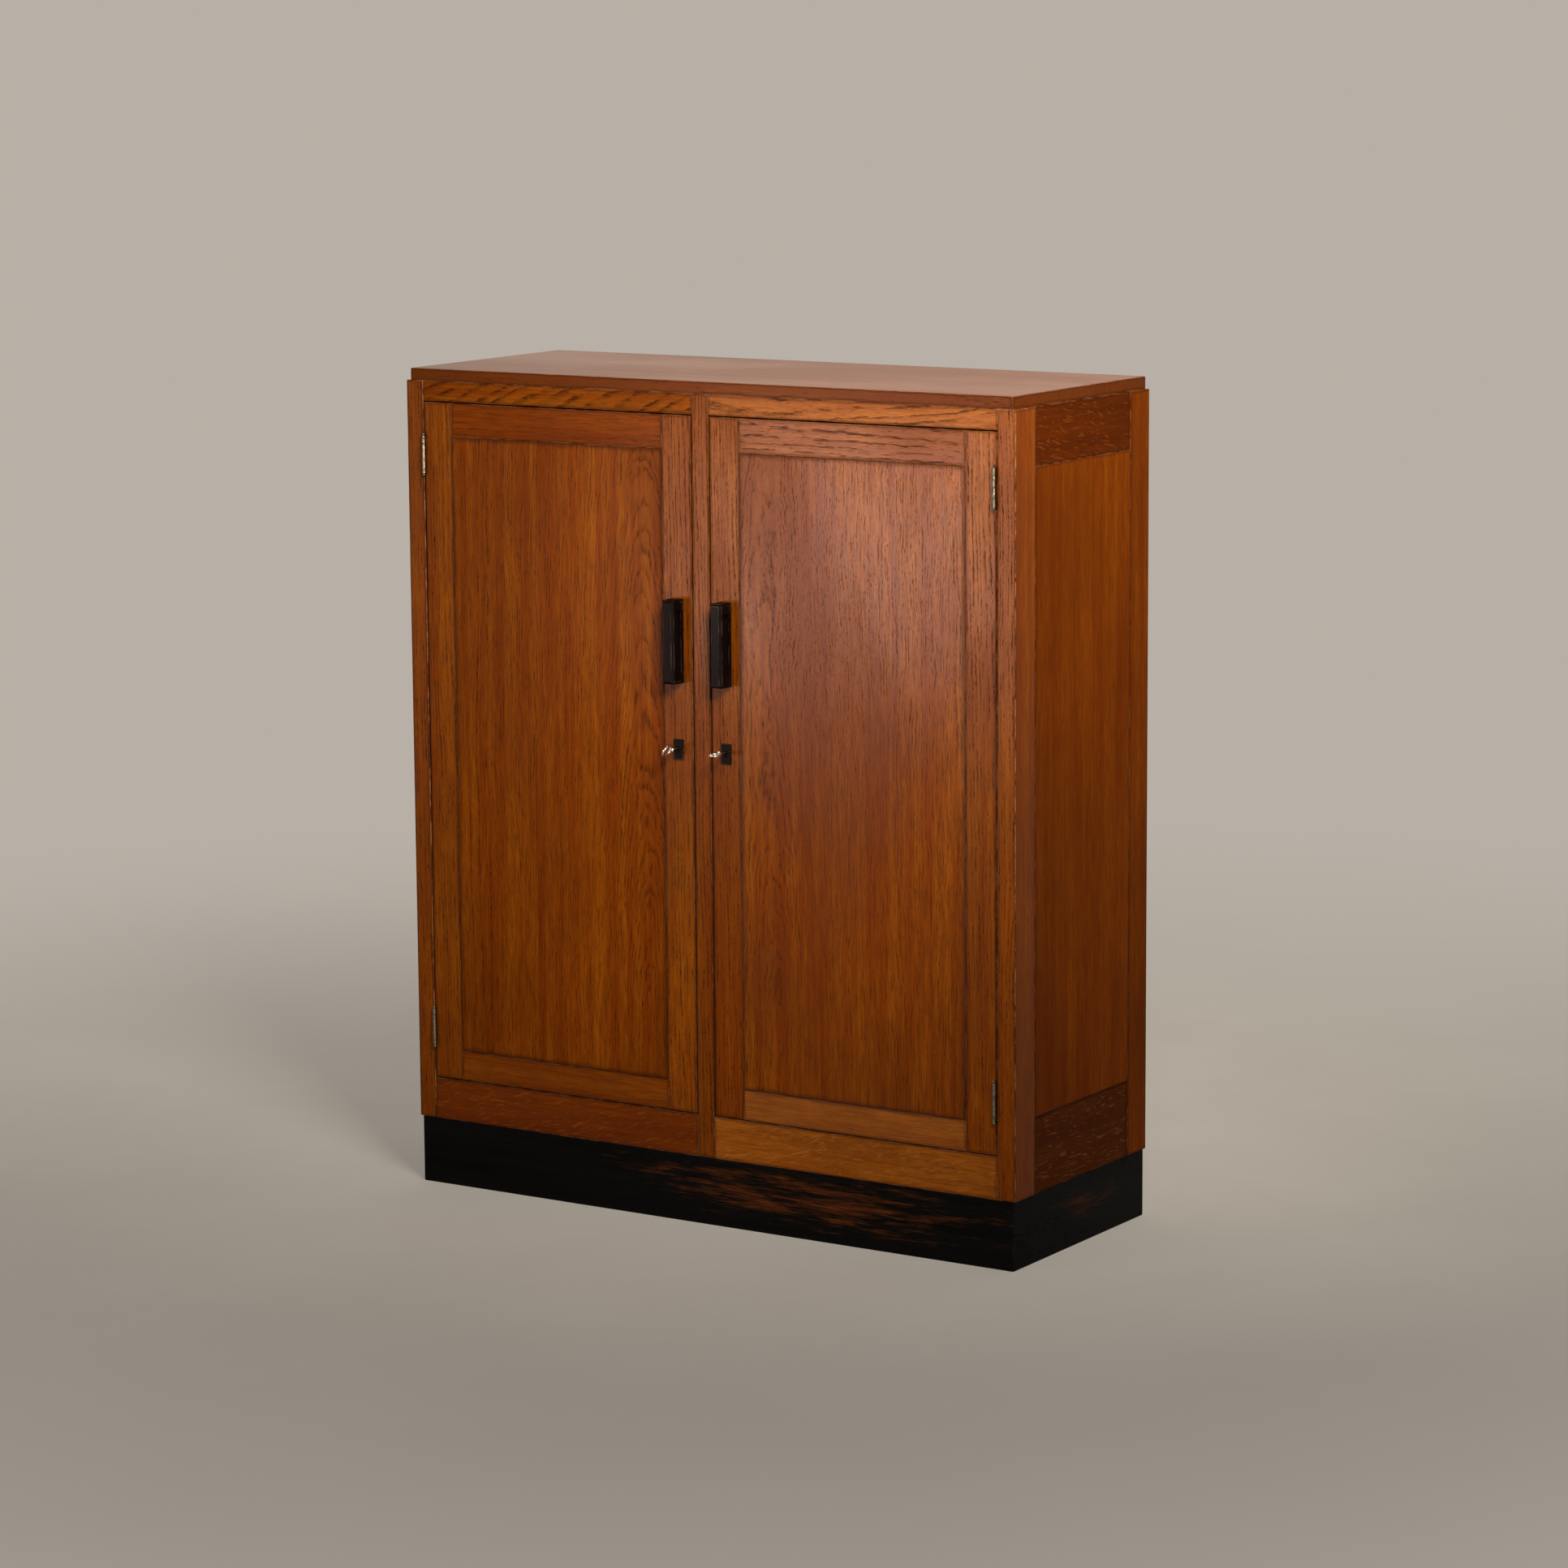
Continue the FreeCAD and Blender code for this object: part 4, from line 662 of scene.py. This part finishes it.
def use(tree, group, **sockets):
    """Places a node group in a material and fills its sockets, with underscores for spaces."""
    made = put(tree, "Group", node_tree=group)
    for label, value in sockets.items():
        fill(tree, made.inputs[label.replace("_", " ")], value)
    return made.outputs


def along_grain(tree, place, order):
    """The place on a board with its axes in this order: across, into the wood, along the grain."""
    axes = put(tree, "SeparateXYZ", {"Vector": place}).outputs
    ordered = {socket: axes[axis.upper()] for socket, axis in zip("XYZ", order)}
    return put(tree, "CombineXYZ", ordered).outputs[0]


def sawn_figure(tree, board, sawn, shift):
    """Bands of early wood, lines between rings, pores and the drift of the stain, for one cut."""
    grown = use(tree, rings, Board=board, Heart_Across=sawn.heart + sawn.slant * shift,
                Heart_Depth=sawn.depth + sawn.lean * shift, Lean=sawn.lean, Slant=sawn.slant,
                Ring_Width=sawn.ring, Wander=sawn.wander)
    drawn_out = vectors(tree, "MULTIPLY", board, (1.0, 1.0, sawn.dash))
    dashes = use(tree, pores, Board=drawn_out, Pore_Row=grown["Pore Row"], Amount=sawn.rows)["Pores"]
    age = use(tree, drift, Board=board)
    strokes = faded(tree, age["Stroke"], low=0.0, high=1.0, start=0.25)
    ring_tone = faded(tree, grown["Ring Tone"], low=0.0, high=1.0, start=0.45)
    bands = times(tree, times(tree, grown["Early Wood"], ring_tone), strokes)
    return Figure(bands, times(tree, grown["Pore Row"], strokes), dashes, age)


print("a board shows", ", ".join(Figure._fields))

# %% Oak finish
# The edge share sets how dark the edges grow, dirt and painted shade together.
CLOUD_SHARE, FIBRE_SHARE, LINE_SHARE, EDGE_DIRT_AND_SHADE_SHARE = 0.6, 0.55, 0.5, 0.65
PORE_DULL, GRIME_DULL = 0.15, 0.12
BAND_SINK = -0.3
PORE_DEPTH = 0.0004


def oak(name, order, cut, stain, seen_box, shift, polish=0.24, gloss=0.05, grime=0.006,
        calm=None, rubbed=0.2, edge=0.0, wax=0.0):
    """Stained and polished oak for one board, with its grain along the last axis of order.

    polish is the roughness and gloss the strength of mirrored light. The reach, in metres, sets how far the
    darkening near the edges goes, which is dirt and painted shade; the arris share sets the lighter arrises,
    partly wear and partly a painted highlight.
    calm is the axis of the face with a quiet figure: wax shines on that face, and edge darkens the others.
    """
    finish, tree, place = new_finish("oak_" + name)
    sawn, tone = CUTS[cut], STAINS[stain]
    low, high = seen_box
    middle = (low + high) / 2
    board = along_grain(tree, place, order)
    board = vectors(tree, "SUBTRACT", board, Vector([middle["xyz".index(axis)] for axis in order]))
    board = vectors(tree, "ADD", board, (0.0, 0.0, shift))
    bands, lines, dashes, age = sawn_figure(tree, board, sawn, shift)
    rim = use(tree, edges, Place=place, Low=low, High=high, Reach=grime, Width=ARRIS_WIDTH)
    if calm:
        facing = put(tree, "SeparateXYZ", {"Vector": put(tree, "TexCoord").outputs["Normal"]}).outputs[calm]
        facing = reckon(tree, "ABSOLUTE", facing)
        plain = faded(tree, facing, low=0.4, high=0.8, start=1.0, end=0.2)
        bands, lines, dashes = (times(tree, mask, plain) for mask in (bands, lines, dashes))
    wood = mixed(tree, age["Streak"], tone.pale, tone.warm)
    wood = mixed(tree, times(tree, age["Cloud"], CLOUD_SHARE), wood, tone.deep)
    wood = mixed(tree, times(tree, age["Fibre"], FIBRE_SHARE), wood, tone.deep)
    if calm and edge:
        wood = mixed(tree, times(tree, plain, edge), wood, STAINS["red"].deep)
    wood = mixed(tree, times(tree, bands, sawn.early), wood, tone.early)
    wood = mixed(tree, times(tree, lines, sawn.early * LINE_SHARE), wood, tone.early)
    if sawn.fleck:
        flakes = use(tree, fleck, Board=board, Turn=math.radians(sawn.turn))["Fleck"]
        wood = mixed(tree, times(tree, flakes, sawn.fleck), wood, tone.fleck)
    wood = mixed(tree, times(tree, dashes, sawn.pores), wood, tone.pore)
    # Darkening near the edges: dirt in the joints and painted shade where the boards meet.
    wood = mixed(tree, times(tree, rim["Near Edge"], EDGE_DIRT_AND_SHADE_SHARE), wood, EDGE_DIRT_AND_SHADE_TONE)
    # Lighter arrises: partly wear, partly a painted highlight.
    wood = mixed(tree, times(tree, rim["Arris"], rubbed), wood, ARRIS_WEAR_AND_HIGHLIGHT_TONE)
    shine = faded(tree, age["Cloud"], low=0.0, high=1.0, start=polish - 0.04, end=polish + 0.05)
    shine = plus(tree, shine, times(tree, dashes, PORE_DULL))
    shine = plus(tree, shine, times(tree, rim["Near Edge"], GRIME_DULL))
    height = minus(tree, times(tree, bands, BAND_SINK), dashes)
    relief = put(tree, "Bump", {"Strength": 0.3, "Distance": PORE_DEPTH, "Height": height}).outputs[0]
    surface = put(tree, "BsdfPrincipled", {"Base Color": wood, "Roughness": shine, "Normal": relief,
                                           "Specular IOR Level": gloss})
    if calm and wax:
        fill(tree, surface.inputs["Coat Weight"], faded(tree, facing, low=0.4, high=0.8, end=wax))
        surface.inputs["Coat Roughness"].default_value = polish
    put(tree, "OutputMaterial", {"Surface": surface.outputs[0]})
    return finish


print("oak in", len(CUTS), "cuts and", len(STAINS), "stains")

# %% [markdown]
# ## Which board is which
# Posts, stiles and panels have their grain upright, rails along their length. A rail's tenons and a panel's
# edges are hidden in their joints, so the box that shows ends where the neighbouring boards begin. Each
# board is also shifted along an endless plank, so that no two show the same stretch of wood.

# %% Lay a board
laid = []


def dress(name, finish):
    """Gives a piece its finish, in place of the plain colour it came with."""
    for slot in nodes[name].material_slots:
        slot.link = "OBJECT"
        slot.material = finish


def seen(name, spans=None):
    """The box of a board that shows: its own, cut back on some axes by its neighbours."""
    low, high = (corner.copy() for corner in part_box(name))
    for axis, (before, after) in (spans or {}).items():
        at = "xyz".index(axis)
        low[at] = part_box(before)[1][at]
        high[at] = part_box(after)[0][at]
    return low, high


def lay(name, order, cut, stain, shift, spans=None, **touches):
    """Dresses one oak board. spans gives the neighbours between which it shows."""
    dress(name, oak(name, order, cut, stain, seen(name, spans), shift, **touches))
    laid.append(name)


def in_order(first, second):
    """Two neighbours in the order that they stand along x."""
    return (first, second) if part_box(first)[0].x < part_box(second)[0].x else (second, first)


panel_low, panel_high = seen("left_door_panel", {"x": in_order("left_lock_stile", "left_hinge_stile")})
print("left door panel shows", round(panel_high.x - panel_low.x, 3), "m of its width")

# %% [markdown]
# ## The doors
# The stiles run from top to bottom and the rails lie between them. Both panels have the arches of their
# figure near the lock stile. The right door has more gloss, because it mirrors more light in the
# photograph. One finish for both doors would be shorter, but would lose what tells their planks apart.

# %% Dress the doors
# Every board of the right half lies this much further along its plank than its fellow on the left.
PLANK_STEP = 3.7
PLANKS = {side: PLANK_STEP * number for number, side in enumerate(SIDES)}
for side, plank in PLANKS.items():
    right = side == "right"
    stiles = in_order(f"{side}_lock_stile", f"{side}_hinge_stile")
    rails = (f"{side}_door_bottom_rail", f"{side}_door_top_rail")
    lay(f"{side}_lock_stile", "xyz", "stile", "door", shift=1.3 + plank, gloss=0.04)
    lay(f"{side}_hinge_stile", "xyz", "stile", "door", shift=5.9 + plank, gloss=0.05 if right else 0.03)
    lay(f"{side}_door_bottom_rail", "zyx", "fine", "gold" if right else "door", shift=2.1 + plank,
        spans={"x": stiles}, gloss=0.12 if right else 0.04)
    lay(f"{side}_door_top_rail", "zyx", "bold" if right else "fine", "door" if right else "red",
        shift=7.4 + plank, spans={"x": stiles}, gloss=0.07 if right else 0.02)
    # Panels darken wider at their edges, dirt and painted shade, and get only a faint lighter arris, wear
    # and painted highlight.
    lay(f"{side}_door_panel", "xyz", f"{side}_leaf", "leaf", shift=4.2 + plank,
        spans={"x": stiles, "z": rails}, grime=0.011, rubbed=0.05, gloss=0.06 if right else 0.02)
print("dressed", len(laid), "boards of the doors")

# %% [markdown]
# ## The case
# The front posts are rubbed at their corners, where a lighter line is partly wear and partly a painted
# highlight, and show their figure mostly in front. The sides are a calm brown with hardly any polish, and
# their rails show ray fleck. The top board was waxed, so its upper face mirrors the pale room. More gloss on
# the whole board would do that too, but would veil its edges.

# %% Dress the case
SIDE_GLOSS = 0.008
for side, plank in PLANKS.items():
    right = side == "right"
    posts = (f"post_front_{side}", f"post_rear_{side}")
    side_rails = (f"side_bottom_rail_{side}", f"side_top_rail_{side}")
    uprights = in_order(f"post_front_{side}", "centre_post")
    # The front posts' corners get the strongest lighter arris, wear and painted highlight.
    lay(f"post_front_{side}", "xyz", "post", "case", shift=8.8 + plank, calm="X", rubbed=0.5, gloss=0.05)
    lay(f"post_rear_{side}", "yxz", "smooth", "side", shift=6.5 + plank, gloss=SIDE_GLOSS)
    lay(f"front_top_rail_{side}", "zyx", "arcs" if right else "slash", "gold" if right else "door",
        shift=9.6 + plank, spans={"x": uprights}, gloss=0.045 if right else 0.012)
    lay(f"front_bottom_rail_{side}", "zyx", "quarter", "gold" if right else "red", shift=3.3 + plank,
        spans={"x": uprights})
    lay(f"side_top_rail_{side}", "zxy", "quarter_high", "brown", shift=1.9 + plank, spans={"y": posts},
        gloss=SIDE_GLOSS)
    lay(f"side_bottom_rail_{side}", "zxy", "quarter_low", "dark", shift=7.7 + plank, spans={"y": posts},
        gloss=SIDE_GLOSS)
    lay(f"side_panel_{side}", "yxz", "smooth", "side", shift=5.1 + plank,
        spans={"y": posts, "z": side_rails}, gloss=SIDE_GLOSS)
lay("centre_post", "xyz", "stile", "door", shift=2.8, gloss=0.04)
lay("top_board", "yzx", "fine", "gold", shift=4.9, calm="Z", polish=0.22, gloss=0.03, edge=0.85, wax=0.42)
print("dressed", len(laid), "oak boards")

# %% [markdown]
# ## The inside
# Shelves, racks and the back are plain oak that was never stained, and decades behind shut doors have kept
# it pale and matt. They use the same finish as the outside, with a pale stain and hardly any polish, so
# inside and outside belong together.

# %% Dress the inside
INNER_ORDERS = {
    "back_top_rail": "zyx", "back_bottom_rail": "zyx", "back_muntin": "xyz", "back_panels": "xyz",
    "bottom_board": "yzx", "partition": "yxz", "plinth_corner_blocks": "xyz", "shelf_racks": "xyz",
    "shelf_bearers": "zxy", "shelves": "yzx", "top_blocks": "zyx", "fixing_strips": "zyx",
}
INNER_START, INNER_STEP = 11.0, 1.7
for number, (name, order) in enumerate(INNER_ORDERS.items()):
    lay(name, order, "stile", "inner", shift=INNER_START + INNER_STEP * number, polish=0.55)
print("dressed", len(INNER_ORDERS), "inner pieces")

# %% [markdown]
# ## Ebonised wood
# The plinth, handles and lock plates are oak stained black. Black is never quite black: the grain shows as
# fine satin lines, and where shoes rub the plinth, the brown wood comes through in drawn-out patches. A
# brown board with black paint over it could be masked the other way round. Starting from black and adding
# the rubbed places keeps the dark parts clean.

# %% Ebonised wood
BLACK_TONES = (srgb(6, 6, 5), srgb(13, 12, 10))
PORE_BLACK, BARE_BROWN, WORN_ARRIS = srgb(2, 2, 2), srgb(104, 52, 18), srgb(76, 52, 38)
CHAMFER_ARRIS_WIDTH = 0.0010
SCORE_SHARE, BLACK_PORE_SHARE, ARRIS_WEAR_AND_HIGHLIGHT_SHARE, BLACK_PORE_DULL = 0.6, 0.6, 0.5, 0.2
Wear = namedtuple("Wear", "amount middle spread")


def rubbed_bare(tree, place, board, wear):
    """A mask of drawn-out patches around one place, where the black is worn off."""
    off = vectors(tree, "SUBTRACT", place, wear.middle)
    near = vectors(tree, "LENGTH", vectors(tree, "DIVIDE", off, wear.spread))
    patches = cloudy(tree, board, stretch=(70.0, 70.0, 9.0), detail=5.0, rough=0.70)
    scored = cloudy(tree, board, stretch=(480.0, 480.0, 14.0), detail=3.0, rough=0.6)
    patches = plus(tree, patches, times(tree, minus(tree, scored, NOISE_MIDDLE), SCORE_SHARE))
    level = faded(tree, near, low=0.0, high=1.25, start=0.40, end=0.84)
    return times(tree, faded(tree, minus(tree, patches, level), low=-0.06, high=0.34), wear.amount)


def ebonised(name, order, polish, wear=None, grain=1.0, chamfer=0.0, arris=WORN_ARRIS, gloss=0.03,
             tones=BLACK_TONES):
    """Black-stained oak, worn lighter at its arrises and, with wear, through to the brown.

    On the handles' chamfers the lighter arris is partly wear and partly a painted highlight.
    """
    finish, tree, place = new_finish("ebonised_" + name)
    board = along_grain(tree, place, order)
    low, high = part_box(name)
    age = use(tree, drift, Board=board)
    dashes = use(tree, pores, Board=board, Pore_Row=age["Streak"], Amount=1.0)["Pores"]
    dashes = times(tree, dashes, grain)
    rim = use(tree, edges, Place=place, Low=low, High=high, Set_In=chamfer,
              Width=CHAMFER_ARRIS_WIDTH if chamfer else ARRIS_WIDTH)
    wood = mixed(tree, age["Streak"], *tones)
    wood = mixed(tree, times(tree, dashes, BLACK_PORE_SHARE), wood, PORE_BLACK)
    if wear:
        wood = mixed(tree, rubbed_bare(tree, place, board, wear), wood, BARE_BROWN)
    # Lighter arrises: wear on the plinth; on the handles' chamfers partly wear, partly a painted highlight.
    wood = mixed(tree, times(tree, rim["Arris"], ARRIS_WEAR_AND_HIGHLIGHT_SHARE), wood, arris)
    shine = faded(tree, age["Cloud"], low=0.0, high=1.0, start=polish - 0.06, end=polish + 0.08)
    shine = plus(tree, shine, times(tree, dashes, BLACK_PORE_DULL))
    height = minus(tree, 0.0, dashes)
    relief = put(tree, "Bump", {"Strength": 0.4, "Distance": PORE_DEPTH, "Height": height}).outputs[0]
    surface = put(tree, "BsdfPrincipled", {"Base Color": wood, "Roughness": shine, "Normal": relief,
                                           "Specular IOR Level": gloss})
    put(tree, "OutputMaterial", {"Surface": surface.outputs[0]})
    return finish


print("bare wood under the black:", [round(part, 3) for part in BARE_BROWN])

# %% Plinth, handles and lock plates
PLINTH = {
    "plinth_front": ("zyx", 0.42, Wear(amount=0.9, middle=(0.20, -0.20, 0.075), spread=(0.66, 0.2, 0.09))),
    "plinth_right": ("zxy", 0.45, Wear(amount=0.35, middle=(0.63, 0.05, 0.07), spread=(0.2, 0.2, 0.06))),
    "plinth_left": ("zxy", 0.45, Wear(amount=0.5, middle=(-0.63, 0.0, 0.07), spread=(0.2, 0.25, 0.06))),
    "plinth_rear": ("zyx", 0.5, Wear(amount=0.4, middle=(0.0, 0.26, 0.06), spread=(0.5, 0.2, 0.05))),
}
for name, (order, polish, wear) in PLINTH.items():
    dress(name, ebonised(name, order, polish, wear))
HANDLE_CHAMFER = 0.0042
# The handles' lighter chamfer lines are partly wear and partly a painted highlight.
HANDLE_WEAR_AND_HIGHLIGHT_TONE, HANDLE_TONES = srgb(88, 64, 52), (srgb(12, 6, 5), srgb(22, 12, 9))
for side in SIDES:
    for piece, chamfer in (("handle", HANDLE_CHAMFER), ("escutcheon", 0.0)):
        name = f"{side}_{piece}"
        dress(name, ebonised(name, "xyz", polish=0.34, grain=0.15, chamfer=chamfer, arris=HANDLE_WEAR_AND_HIGHLIGHT_TONE,
                             gloss=0.02, tones=HANDLE_TONES))
print("ebonised", ", ".join(PLINTH), "and the handles and lock plates")

# %% [markdown]
# ## Metal
# The hinges are steel that has gone brown with age, the locks plain bright steel, and the keys nickel
# plate. A plain grey with one roughness would look new. Metal shows its surroundings, so its colour is only
# part of the finish: fine scratches and dull patches in the roughness make it read as old.

# %% Metal
PATCH_LEVEL, PATCH_TOP, TARNISH_DROP, PATCH_DULL = 0.62, 0.72, 0.4, 0.22
SCRATCH_DEPTH = 0.0001


def metal(name, bright, dull, shine, tarnish):
    """Metal with tarnish in patches and fine rubbing marks."""
    finish, tree, place = new_finish(name)
    patches = cloudy(tree, place, stretch=(160.0, 160.0, 160.0), detail=4.0, rough=0.65)
    patches = faded(tree, patches, PATCH_LEVEL - tarnish * TARNISH_DROP, PATCH_TOP)
    marks = cloudy(tree, place, stretch=(2200.0, 2200.0, 90.0), rough=0.6)
    colour = mixed(tree, patches, bright, dull)
    rough = faded(tree, marks, low=0.3, high=0.7, start=shine - 0.05, end=shine + 0.08)
    rough = plus(tree, rough, times(tree, patches, PATCH_DULL))
    relief = put(tree, "Bump", {"Strength": 0.2, "Distance": SCRATCH_DEPTH, "Height": marks}).outputs[0]
    surface = put(tree, "BsdfPrincipled", {"Base Color": colour, "Roughness": rough, "Normal": relief,
                                           "Metallic": 1.0})
    put(tree, "OutputMaterial", {"Surface": surface.outputs[0]})
    return finish


aged_steel = metal("aged_steel", bright=srgb(112, 98, 80), dull=srgb(46, 37, 28), shine=0.34, tarnish=0.5)
lock_steel = metal("lock_steel", bright=srgb(172, 170, 164), dull=srgb(112, 104, 94), shine=0.32,
                   tarnish=0.25)
nickel = metal("nickel", bright=srgb(226, 222, 214), dull=srgb(168, 160, 148), shine=0.14, tarnish=0.1)
for name in ("hinge_frame_leaves", "hinge_pins", "hinge_frame_screws"):
    dress(name, aged_steel)
dress("lock_keeps", lock_steel)
for side in SIDES:
    for piece in ("door_hinge_leaves", "door_screws"):
        dress(f"{side}_{piece}", aged_steel)
    for piece in ("lock_case", "lock_bolt"):
        dress(f"{side}_{piece}", lock_steel)
    dress(f"{side}_key", nickel)
print("metals", aged_steel.name, lock_steel.name, nickel.name)
